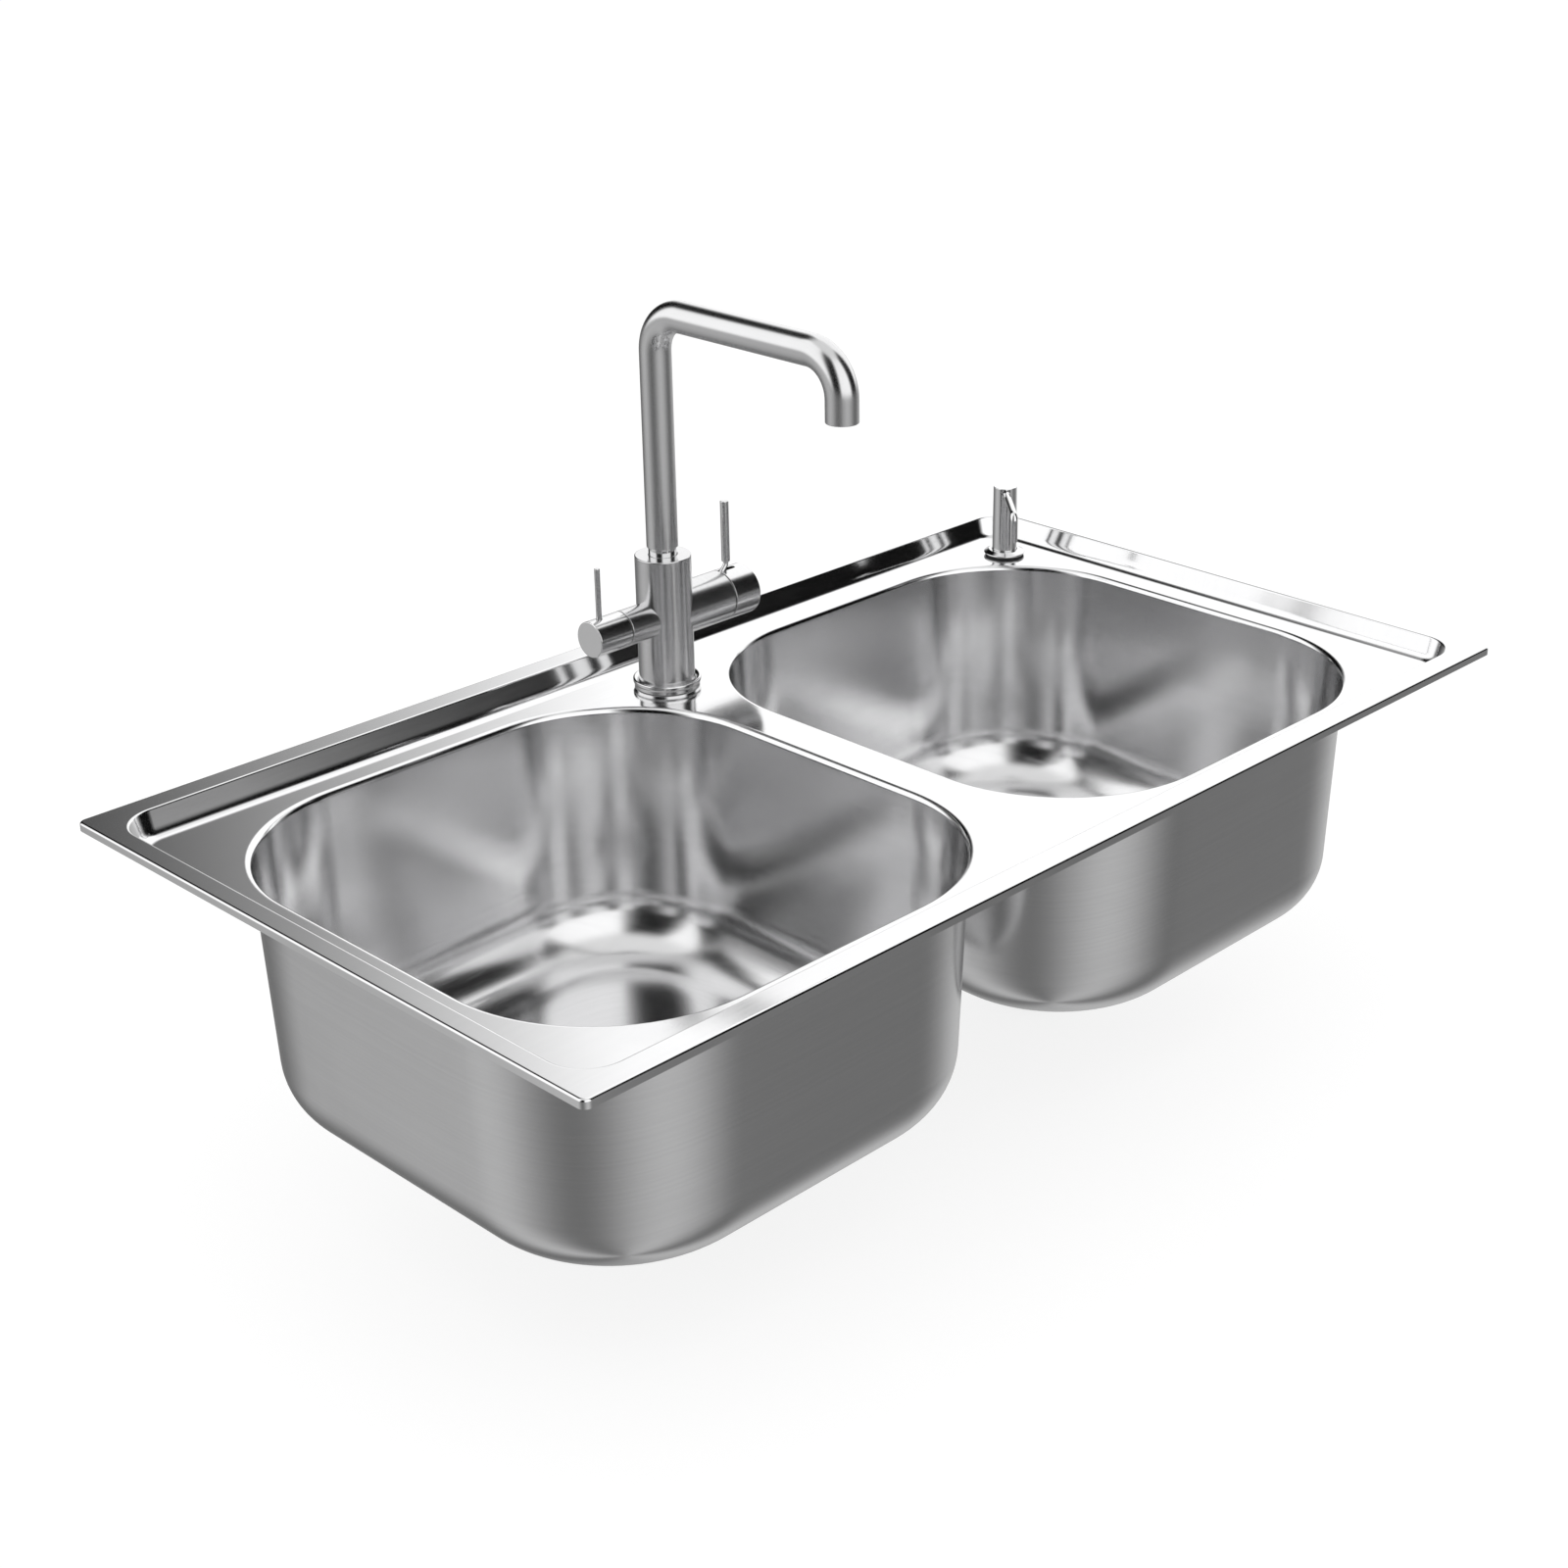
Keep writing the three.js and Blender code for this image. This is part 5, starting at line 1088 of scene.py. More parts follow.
@dataclass
class WasteOutlet:
    """The strainer cup in a bowl's waste hole, with its washer, nut and tail pipe underneath."""

    side: Side
    seat: float = -183.8
    flange_radius: float = 55.0
    flange: float = 1.6
    cup_radius: float = 43.5
    wall: float = 2.0
    cup_depth: float = 34.0
    cone: float = 13.0
    neck_radius: float = 22.5
    neck_length: float = 13.0
    thread: float = 2.0
    washer: float = 2.5
    nut_radius: float = 53.0
    nut_height: float = 9.0
    tail_radius: float = 19.0
    tail_length: float = 20.0
    slip_nut_height: float = 17.0
    slip_nut_wall: float = 5.0

    @property
    def mouth(self) -> float:
        """The height of the flange's underside."""
        return self.seat + SEAT_GAP

    @property
    def neck_top(self) -> float:
        """The height at which the cone becomes the neck."""
        return self.mouth - self.cup_depth - self.cone

    @property
    def foot(self) -> float:
        """The height of the neck's foot."""
        return self.neck_top - self.neck_length

    def _cup(self) -> Surface:
        """The flanged cup, its cone and its threaded neck, in one turned profile."""
        top = self.mouth + self.flange
        inner, bore = self.cup_radius - self.wall, self.neck_radius - self.wall
        floor = self.mouth - self.cup_depth
        section = rounded([
            (self.flange_radius, self.mouth, 0.3), (self.flange_radius - 2.5, top, 1.6),
            (inner + 1.6, top, 1.2), (inner, top - 1.8, 1.2), (inner, floor, 3.0),
            (bore, self.neck_top, 3.0), (bore, self.foot, 0.3), (self.neck_radius, self.foot, 0.4),
            *wall(self.neck_radius, self.foot + 1, self.neck_top - 1.5, self.thread),
            (self.neck_radius, self.neck_top - 1, 2.0), (self.cup_radius, floor - 1.5, 3.0),
            *wall(self.cup_radius, floor + 6, self.mouth - 3, self.thread),
            (self.cup_radius, self.mouth, 0.0)], steps=4)
        cup = threaded(lathe(section), self.neck_radius, 0.7, self.thread, self.foot + 1,
                       self.neck_top - 1.5)
        return threaded(cup, self.cup_radius, 0.6, self.thread, floor + 6, self.mouth - 3)

    def _sealing_washer(self, top: float) -> Surface:
        """The soft washer under the bowl, with rounded edges."""
        return washer(self.cup_radius + SEAT_GAP, self.nut_radius, top, self.washer, 0.8)

    def _locknut(self, top: float) -> Surface:
        """The nut: six lobes round a dished ring with a raised hub."""
        bore, bottom = self.cup_radius + SEAT_GAP, top - self.nut_height
        section = rounded([(bore, top, 0.4), (self.nut_radius, top, 0.6),
                           (self.nut_radius, top - 6, 1.2), (bore + 4.5, top - 6.8, 0.8),
                           (bore + 4.0, bottom, 0.6), (bore, bottom, 0.4)])
        return lobed(lathe(section, 144), 6, 4.0, bore + 5, math.radians(7.5))

    def _tail_pipe(self) -> Surface:
        """The flanged pipe below the neck, with a bead round its foot."""
        top, bore = self.foot - SEAT_GAP, self.tail_radius - 2
        bottom = top - self.tail_length
        return lathe(rounded([
            (bore, top, 0.4), (self.neck_radius, top, 0.4), (self.neck_radius, top - 2, 0.5),
            (self.tail_radius, top - 2, 0.4), (self.tail_radius, bottom, 0.7),
            (bore, bottom, 0.5)]))

    def _slip_nut(self) -> Surface:
        """The ribbed nut that draws the pipe up: a cup with grip ribs and a ledge inside."""
        top, bore = self.neck_top - 2, self.neck_radius + SEAT_GAP
        bottom, ledge = top - self.slip_nut_height, self.foot - 2 - 2 * SEAT_GAP
        outer, small = bore + self.slip_nut_wall, self.tail_radius + SEAT_GAP
        section = rounded([(bore, top, 0.6), (outer, top, 1.2), (outer, bottom, 1.6),
                           (small, bottom, 0.6), (small, ledge, 0.4), (bore, ledge, 0.4)])
        return lobed(lathe(section, 192), 24, 0.9, bore + 2)

    def build(self) -> None:
        """Make the outlet's five pieces."""
        word, x = self.side.word, self.side.value
        washer_top = self.seat - SHEET - SEAT_GAP
        nut_top = washer_top - self.washer - SEAT_GAP
        rows = (
            ("strainer_cup", self._cup(), FITTING_POLISH, Slot.POLISHED, "strainer_body"),
            ("sealing_washer", self._sealing_washer(washer_top), RUBBER, Slot.RUBBER,
             "strainer_washer"),
            ("lobed_nut", self._locknut(nut_top), ZINC, Slot.ZINC, "strainer_locknut"),
            ("tail_pipe", self._tail_pipe(), GREY_PLASTIC, Slot.GREY, "tailpiece"),
            ("slip_nut", self._slip_nut(), GREY_PLASTIC, Slot.GREY, "tailpiece_nut"))
        for name, shape, finish, slot, node in rows:
            make(f"{word}_{name}", shape.moved(x, 0, 0), finish, Body.SINK, f"{word}_{node}")


@dataclass
class StrainerBasket:
    """The lift-out basket: a pressed sheet with rings of holes, its knob and its plug disc."""

    side: Side
    top_radius: float = 41.2
    rim_height: float = -181.6
    rim_width: float = 4.0
    depth: float = 27.0
    taper: float = 4.0
    sheet: float = 0.8
    hole_radius: float = 2.1
    hole_rings: tuple[tuple[int, float], ...] = ((6, 12.0), (12, 20.5), (18, 29.0))
    post_radius: float = 3.0
    knob_radius: float = 9.0
    knob_height: float = 24.0
    stopper: float = 3.0

    @property
    def body(self) -> Body:
        """The body that the basket lifts with."""
        return Body.LEFT_BASKET if self.side is Side.LEFT else Body.RIGHT_BASKET

    @property
    def floor(self) -> float:
        """The height of the basket floor's underside."""
        return self.rim_height - self.depth

    def _pressing(self) -> Surface:
        """The upper skin: rim, tapered wall and corner turned about Z, and a drilled flat floor."""
        top, floor = self.rim_height + self.sheet, self.floor + self.sheet
        inner, foot = self.top_radius - 1, self.top_radius - self.taper - 1
        section = rounded([(self.top_radius + self.rim_width, top - 0.5, 0),
                           (self.top_radius + self.rim_width - 0.6, top, 0.4),
                           (inner, top, 1.6), (inner, self.rim_height - 4, 6), (foot, floor, 4.0),
                           (foot - 5, floor, 0)], closed=False, steps=6)
        angle = np.linspace(0, 2 * np.pi, ROUND, endpoint=False)
        around = np.stack([np.cos(angle), np.sin(angle)], -1)
        rings = np.stack([at_height(around * radius, height) for radius, height in section])
        grain = np.stack([rings[:, :, 2] - section[:, :1], rings[:, :, 0], rings[:, :, 1]], -1)
        holes = [circle(self.post_radius + 0.3, count=24)]
        for count, reach in self.hole_rings:
            for k in range(count):
                turn = 2 * math.pi * (k + 0.5) / count
                centre = (reach * math.cos(turn), reach * math.sin(turn))
                holes.append(circle(self.hole_radius, centre, 20))
        base = plate(rings[-1][:, :2], holes, floor)
        return joined(skin(rings, grain).upward(), base).welded()

    def _knob(self) -> Surface:
        """The turned knob on its post, down to the head that carries the plug disc."""
        low = self.floor - SEAT_GAP - self.stopper - SEAT_GAP
        shoulder, top = self.floor + 1 + SEAT_GAP, self.floor + self.knob_height
        head = self.post_radius + 2.5
        return lathe(rounded([
            (0, low - 2, 0), (head, low - 2, 0.7), (head, low, 0.4), (self.post_radius, low, 0.2),
            (self.post_radius, shoulder, 0.2), (head, shoulder, 0.5),
            (self.post_radius, shoulder + 4, 3.0), (self.post_radius, top - 7, 3.0),
            (self.knob_radius, top - 3.4, 1.2), (self.knob_radius - 0.6, top - 0.6, 1.4),
            (2.5, top, 1.0), (2.0, top - 0.5, 0.5), (0, top - 0.6, 0)], closed=False, steps=6),
            ROUND_SMALL)

    def _plug_disc(self) -> Surface:
        """The soft disc under the basket, thinned to a lip."""
        top, bore = self.floor - SEAT_GAP, self.post_radius + SEAT_GAP
        lip = self.top_radius - self.taper - 6
        bottom = top - self.stopper
        return lathe(rounded([(bore, bottom, 0.3), (lip - 3, bottom, 0.8), (lip, top - 1, 0.3),
                              (lip, top, 0.4), (bore, top, 0.3)]))

    def build(self) -> None:
        """Make the basket, its knob and its disc."""
        word, x = self.side.word, self.side.value
        make(f"{word}_pressed_basket", self._pressing().moved(x, 0, 0), BASKET_STEEL, self.body,
             f"{word}_basket", sheet=self.sheet, regrain=round_z(x, 0))
        make(f"{word}_lift_knob", self._knob().moved(x, 0, 0), FITTING_POLISH, self.body,
             f"{word}_basket_knob")
        make(f"{word}_plug_disc", self._plug_disc().moved(x, 0, 0), RUBBER, self.body,
             f"{word}_basket_stopper")


# ---------------------------------------------------------------- tap


@dataclass
class TapColumn:
    """The tap's standing parts: flared ring, body with two arms, and the fixing below."""

    x: float = TAP_X
    y: float = TAP_Y
    radius: float = 18.6
    foot: float = 2.7
    top: float = TAP_TOP
    arm_height: float = ARM_HEIGHT
    mixer_arm: float = 17.2
    mixer_reach: float = 49.0
    mixer_bore: float = 13.9
    mixer_floor: float = 20.4
    filter_arm: float = 12.1
    filter_reach: float = 37.6
    filter_bore: float = 8.9
    filter_floor: float = 17.3
    flange_radius: float = 22.6
    flange_foot: float = 21.8
    flange_underside: float = 1.4
    flange_floor: float = 2.4
    skirt: float = 21.05
    skirt_lift: float = 0.35
    flange_height: float = 6.4
    stem_bore: float = 9.6
    stem_depth: float = 34.0
    shank_socket: float = 12.0
    shank: float = 14.0
    shank_bore: float = 12.0
    shank_length: float = 62.0
    thread: float = 1.5
    washer_radius: float = 23.0
    plate_radius: float = 24.0
    nut_radius: float = 21.0
    nut_height: float = 9.0
    inlet: float = 4.4
    inlet_bore: float = 3.0
    inlet_ring: float = 6.4
    inlet_below: float = 74.0

    def _flange(self) -> Surface:
        """The flared ring: a skirt round the seal, a bead near its top and a lip to the body."""
        bottom, inner = self.flange_underside, self.radius + SEAT_GAP
        height, wide, floor = self.flange_height, self.flange_radius, self.flange_floor
        return lathe(rounded([
            (self.shank + SEAT_GAP, bottom, 0.2), (self.skirt, bottom, 0.1),
            (self.skirt, self.skirt_lift, 0.1), (self.flange_foot, self.skirt_lift, 0.3),
            (self.flange_foot, height * 0.42, 1.4), (wide, height - 2.6, 1.0),
            (wide, height - 0.6, 0.7), (wide - 1.2, height, 0.8), (inner, height - 2.0, 0.3),
            (inner, floor, 0.2), (self.shank + SEAT_GAP, floor, 0.2)], steps=6))

    def _column(self) -> Surface:
        """The column, bored from above for the stem and from below for the shank."""
        stem, seat, deep = self.stem_bore, self.foot + self.shank_socket, self.top - self.stem_depth
        return lathe(rounded([
            (0, deep, 0), (stem, deep, 0.4), (stem, self.top, 0.4),
            (self.radius, self.top, 0.6), (self.radius, self.foot, 0.4),
            (self.shank + SEAT_GAP, self.foot, 0.3), (self.shank + SEAT_GAP, seat, 0.3),
            (0, seat, 0)], closed=False))

    def _arm(self, reach: float, arm: float, bore: float, floor: float) -> Surface:
        """An arm along +X whose root follows the column: x = sqrt(R^2 - y^2) there.

        The root's disc lies a little inside the column, so both shapes are closed.
        """
        section = rounded([(0, 0, 0), (arm * 0.5, 0, 0), (arm, 0, 0), (arm, reach, 0.4),
                           (bore, reach, 0.3), (bore, floor, 0.4), (0, floor, 0)], closed=False)
        shape = lathe(section).about_x()
        x, y, z = shape.points.T
        saddle = np.sqrt(np.maximum((self.radius - 0.15) ** 2 - y ** 2, 0))
        near = x < 0.5
        x = np.where(near, saddle + x, x)
        grain = np.stack([x - np.hypot(y, z), y, z], -1)
        return Surface(np.stack([x, y, z], -1), shape.faces, grain)

    def _body(self) -> Surface:
        """The column with both arms."""
        mixer = self._arm(self.mixer_reach, self.mixer_arm, self.mixer_bore, self.mixer_floor)
        other = self._arm(self.filter_reach, self.filter_arm, self.filter_bore,
                          self.filter_floor + 1.6).spun(math.pi)
        up = self.arm_height
        return joined(self._column(), mixer.moved(0, 0, up).outward(), other.moved(0, 0, up))

    def _shank(self) -> Surface:
        """The threaded tube that goes through the deck."""
        top, low = self.foot + 11.7, -self.shank_length
        section = rounded([(self.shank_bore, low, 0.3), (self.shank, low, 0.5),
                           *wall(self.shank, low + 1, top - 1, self.thread),
                           (self.shank, top, 0.4), (self.shank_bore, top, 0.3)], steps=3)
        return threaded(lathe(section, 64), self.shank, 0.5, self.thread, low + 1, -1.0)

    def _horseshoe(self, top: float) -> Surface:
        """The clamping plate: a flat ring with a mouth, cut round an open outline."""
        bore, outer, thick = self.shank + SEAT_GAP, self.plate_radius, 2.0
        start = math.asin(bore / outer)
        arc = np.linspace(math.pi / 2 + start, 2.5 * math.pi - start, 60)
        outside = np.stack([outer * np.cos(arc), outer * np.sin(arc)], -1)
        turn = np.linspace(2 * math.pi, math.pi, 40)
        hollow = np.stack([bore * np.cos(turn), bore * np.sin(turn)], -1)
        outline = np.vstack([outside, hollow])
        face = plate(outline, [], top)
        lower = plate(outline, [], top - thick).flipped()
        rings = np.stack([at_height(outline, top), at_height(outline, top - thick)])
        sides = skin(rings, rings[:, :, [2, 0, 1]])
        whole = joined(face, lower, sides if _faces_out(sides) else sides.flipped())
        return whole.welded()

    def _hexagon_nut(self, top: float) -> Surface:
        """The nut: a chamfered ring cut down to six flats, with a threaded bore."""
        bore, outer, low = self.shank + SEAT_GAP, self.nut_radius, top - self.nut_height
        section = rounded([(bore, top, 0.4), (outer - 2.4, top, 0.2), (outer, top - 1.3, 0.0),
                           (outer, low + 1.3, 0.0), (outer - 2.4, low, 0.2), (bore, low, 0.4)])
        return hexagonal(lathe(section, 144), outer, bore + 2)

    def _inlet(self) -> Surface:
        """One inlet tail: a tube with two grip rings near its end."""
        low, top = -self.inlet_below, self.foot + 20
        r, bore = self.inlet, self.inlet_bore
        rings = []
        for z in (low + 6, low + 10):
            rings += [(r, z - 0.7, 0.1), (r - 0.6, z, 0.2), (r, z + 0.7, 0.1)]
        return lathe(rounded([(bore, low, 0.2), (r, low, 0.4), *rings, (r, top, 0.3),
                              (bore, top, 0.2)], steps=3), ROUND_SMALL)

    def build(self) -> None:
        """Make the tap's standing pieces."""
        place = (self.x, self.y, DECK_TOP)
        washer_top = -SHEET - SEAT_GAP
        plate_top = washer_top - 3 - SEAT_GAP
        nut_top = plate_top - 2 - SEAT_GAP
        ring = washer(self.shank + SEAT_GAP, self.washer_radius, washer_top, 3.0)
        rows = [
            ("tap_flare_ring", self._flange(), FITTING_POLISH, Slot.POLISHED, "tap_base_flange"),
            ("tap_column", self._body(), TAP_BRUSHED, Slot.BRUSHED, "tap_body"),
            ("threaded_shank", self._shank(), TURNED_BRASS, Slot.BRASS, "tap_shank"),
            ("tap_soft_washer", ring, RUBBER, Slot.RUBBER, "tap_washer"),
            ("horseshoe_plate", self._horseshoe(plate_top), ZINC, Slot.ZINC, "tap_clamp_plate"),
            ("hexagon_nut", self._hexagon_nut(nut_top), TURNED_BRASS, Slot.BRASS, "tap_nut")]
        for word, degrees in (("cold", 90), ("hot", 210), ("filter", 330)):
            turn = math.radians(degrees)
            tail = self._inlet().moved(self.inlet_ring * math.cos(turn),
                                       self.inlet_ring * math.sin(turn), 0)
            rows.append((f"{word}_tail", tail, TURNED_BRASS, Slot.BRASS, f"{word}_inlet"))
        for name, shape, finish, slot, node in rows:
            make(name, shape.moved(*place), finish, Body.SINK, node)


def _faces_out(sides: Surface) -> bool:
    """Whether a prism's sides point outwards: their volume about mid-height is positive."""
    shift = np.array([0, 0, sides.points[:, 2].mean()])
    a, b, c = (sides.points[sides.triangles()[:, k]] - shift for k in range(3))
    return bool((a * np.cross(b, c)).sum() > 0)


@dataclass
class SwivelSpout:
    """The turning spout: its stem, the bent tube and the aerator."""

    x: float = TAP_X
    y: float = TAP_Y
    radius: float = 10.4
    wall: float = 1.2
    neck: float = 9.3
    foot: float = 97.3
    arm_height: float = 255.0
    bend: float = 26.0
    reach: float = 166.3
    outlet: float = 215.0
    column_top: float = TAP_TOP
    stem_length: float = 32.7
    stem_bore: float = 7.0
    groove: float = 7.5
    groove_half: float = 1.2
    groove_places: tuple[float, ...] = (4.0, 16.0)
    plug_length: float = 10.0
    drill: float = 0.65
    drill_rings: tuple[tuple[int, float], ...] = ((1, 0.0), (6, 2.6), (12, 5.1))

    def _stem(self) -> Surface:
        """The stem: a spigot with two grooves, a neck above it and a plug in the tube."""
        low, r = self.column_top - self.stem_length, self.neck
        corners = [(self.stem_bore, low, 0.3), (r, low, 0.5)]
        for place in self.groove_places:
            start, end = low + place - self.groove_half, low + place + self.groove_half
            corners += [(r, start, 0.1), (self.groove, start, 0.1), (self.groove, end, 0.1),
                        (r, end, 0.1)]
        plug, top = self.radius - self.wall - SEAT_GAP, self.foot + self.plug_length
        corners += [(r, self.foot, 0.2), (plug, self.foot, 0.1), (plug, top, 0.4),
                    (self.stem_bore, top, 0.3)]
        return lathe(rounded(corners, steps=3))

    def _tube(self) -> Surface:
        """The tube: a wall section carried along riser, bend, arm, bend and outlet."""
        route = Route.in_plane([(0, 0, self.foot + SEAT_GAP, 0), (0, 0, self.arm_height, self.bend),
                                (0, -self.reach, self.arm_height, self.bend),
                                (0, -self.reach, self.outlet, 0)], (1, 0, 0), steps=22)
        stations = route.lengths
        inner, end = self.radius - self.wall, stations[-1]
        outside = rounded([(inner, 0, 0.25), (self.radius, 0, 0.5), (self.radius, end, 0.5),
                           (inner, end, 0.25)], steps=4)
        return turned_along(route, tube_rows(outside, stations), ROUND)

    def _aerator(self) -> Surface:
        """The aerator: a screwed ring round a plate that sits back from its mouth."""
        outer, low = self.radius - self.wall - SEAT_GAP, self.outlet + 0.6
        inner = outer - 1.6
        return lathe(rounded([
            (0, low + 2, 0), (inner, low + 2, 0.3), (inner + 0.4, low, 0.3), (outer, low, 0.4),
            (outer, low + 9, 0.3), (inner, low + 9, 0.3), (inner, low + 4, 0.3), (0, low + 4, 0)],
            closed=False), ROUND_SMALL)

    def build(self) -> None:
        """Make the spout's pieces."""
        place = (self.x, self.y, DECK_TOP)
        mouth = (self.x, self.y - self.reach, DECK_TOP)
        size = self.drill
        drill = lathe(np.array([(0, -2.0), (size, -2.0), (size, 8.0), (0, 8.0)]), 12)
        drills = []
        for count, reach in self.drill_rings:
            for k in range(count):
                turn = 2 * math.pi * k / count
                drills.append(drill.moved(reach * math.cos(turn), reach * math.sin(turn),
                                          self.outlet).moved(*mouth))
        make("swivel_stem", self._stem().moved(*place), FITTING_POLISH, Body.SPOUT,
             "spout_stem")
        make("bent_spout", self._tube().moved(*place), SPOUT_BRUSHED, Body.SPOUT,
             "spout_tube")
        make("outlet_aerator", self._aerator().moved(*mouth), FITTING_POLISH, Body.SPOUT,
             "aerator", cutters=[joined(*drills)], regrain=round_z(*mouth[:2]))


@dataclass
class MixerHandle:
    """The mixer's turning cap and the lever that tips in its slot."""

    x: float = TAP_X
    y: float = TAP_Y
    z: float = DECK_TOP + ARM_HEIGHT
    radius: float = 17.2
    start: float = 49.8
    end: float = 71.6
    wall: float = 1.6
    slot_length: float = 14.6
    slot_width: float = 4.4
    ball: float = 4.0
    ball_offset: float = 51.6
    neck: float = 1.8
    lever: float = 2.9
    lever_offset: float = 56.0
    lever_foot: float = 22.8
    lever_top: float = 65.5

    def _cap(self) -> Surface:
        """The cap: a thin cup with a small bevel round its face."""
        inner = self.radius - self.wall
        return lathe(rounded([
            (0, self.end - self.wall, 0), (inner, self.end - self.wall, 0.6),
            (inner, self.start, 0.2),
            (self.radius, self.start, 0.3), (self.radius, self.end, 0.7), (0, self.end, 0)],
            closed=False), 120).about_x()

    def _slot(self) -> Surface:
        """A rounded bar that cuts the slot, from the cap's open edge to the slot's far end."""
        half, far = self.slot_width / 2, self.start - 1 + self.slot_length
        outline = rounded([(self.start - 2, -half, 0), (far, -half, half - 0.05),
                           (far, half, half - 0.05), (self.start - 2, half, 0)], steps=8)
        rings = np.stack([at_height(outline, self.radius + 3), at_height(outline, self.radius - 6)])
        shape = skin(rings, rings, first_pole=rings[0].mean(0), last_pole=rings[1].mean(0))
        return shape.outward()

    def _lever(self) -> Surface:
        """The lever: a ball, a thin bent neck and a thicker pin, turned about one bent path."""
        start = -self.ball
        route = Route.in_plane([(self.ball_offset, 0, start, 0), (self.ball_offset, 0, 15.4, 4.5),
                                (self.lever_offset, 0, 20.6, 4.5),
                                (self.lever_offset, 0, self.lever_top, 0)], (0, 1, 0))
        total = route.lengths[-1]
        pin = total - (self.lever_top - self.lever_foot)
        angle = np.linspace(0, np.pi - math.asin(self.neck / self.ball), 14)
        ball = np.column_stack([self.ball * np.sin(angle), self.ball - self.ball * np.cos(angle)])
        bend = route.lengths[(route.lengths > ball[-1, 1] + 1) & (route.lengths < pin - 1)]
        neck = np.column_stack([np.full(len(bend), self.neck), bend])
        head = rounded([(self.neck, pin - 0.6, 0), (self.neck, pin, 0.2), (self.lever, pin, 0.5),
                        (self.lever, total, 0.5), (0, total, 0)], closed=False, steps=4)
        ball[0, 0] = 0
        return turned_along(route, np.vstack([ball, neck, head]), ROUND_SMALL)

    def build(self) -> None:
        """Make the cap and the lever."""
        place = (self.x, self.y, self.z)
        make("mixer_turning_cap", self._cap().moved(*place), CAP_POLISH, Body.MIXER_TURNER,
             "mixer_cap", cutters=[self._slot().moved(*place)],
             regrain=round_x(self.y, self.z))
        make("mixer_lever_pin", self._lever().moved(*place), TAP_BRUSHED, Body.MIXER_HANDLE,
             "mixer_lever", regrain=round_z(self.x + self.lever_offset, self.y))


@dataclass
class FilterHandle:
    """The filter tap's quarter-turn cap and its thin lever."""

    x: float = TAP_X
    y: float = TAP_Y
    z: float = DECK_TOP + ARM_HEIGHT
    radius: float = 12.1
    start: float = 38.4
    end: float = 65.0
    wall: float = 1.6
    lever: float = 1.85
    lever_offset: float = 56.3
    lever_foot: float = 5.3
    lever_top: float = 46.7
    lever_hole: float = 2.15
    socket: float = 3.5
    socket_end: float = 51.6

    def _cap(self) -> Surface:
        """The cap: a cup whose boss takes the spindle."""
        inner, socket, depth = self.radius - self.wall, self.socket, self.socket_end
        return lathe(rounded([
            (0, -self.end, 0), (self.radius, -self.end, 0.6), (self.radius, -self.start, 0.3),
            (inner, -self.start, 0.2), (inner, -self.start - 6, 0.4),
            (socket, -self.start - 6, 0.2),
            (socket, -depth, 0.2), (0, -depth, 0)], closed=False)).about_x()

    def build(self) -> None:
        """Make the cap and the lever."""
        place = (self.x, self.y, self.z)
        foot, top, hole = self.lever_foot, self.lever_top, self.lever_hole
        pin = lathe(rounded([(0, foot, 0), (self.lever, foot, 0.2), (self.lever, top, 0.4),
                             (0, top, 0)], closed=False), ROUND_SMALL)
        drill = lathe(np.array([(0, 5.0), (hole, 5.0), (hole, 14.0), (0, 14.0)]), ROUND_SMALL)
        make("filter_turning_cap", self._cap().moved(*place), CAP_POLISH, Body.FILTER_HANDLE,
             "filter_cap",
             cutters=[drill.moved(-self.lever_offset, 0, 0).moved(*place)],
             regrain=round_x(self.y, self.z))
        make("filter_lever_pin", pin.moved(-self.lever_offset, 0, 0).moved(*place), TAP_BRUSHED,
             Body.FILTER_HANDLE, "filter_lever")


# ---------------------------------------------------------------- soap dispenser


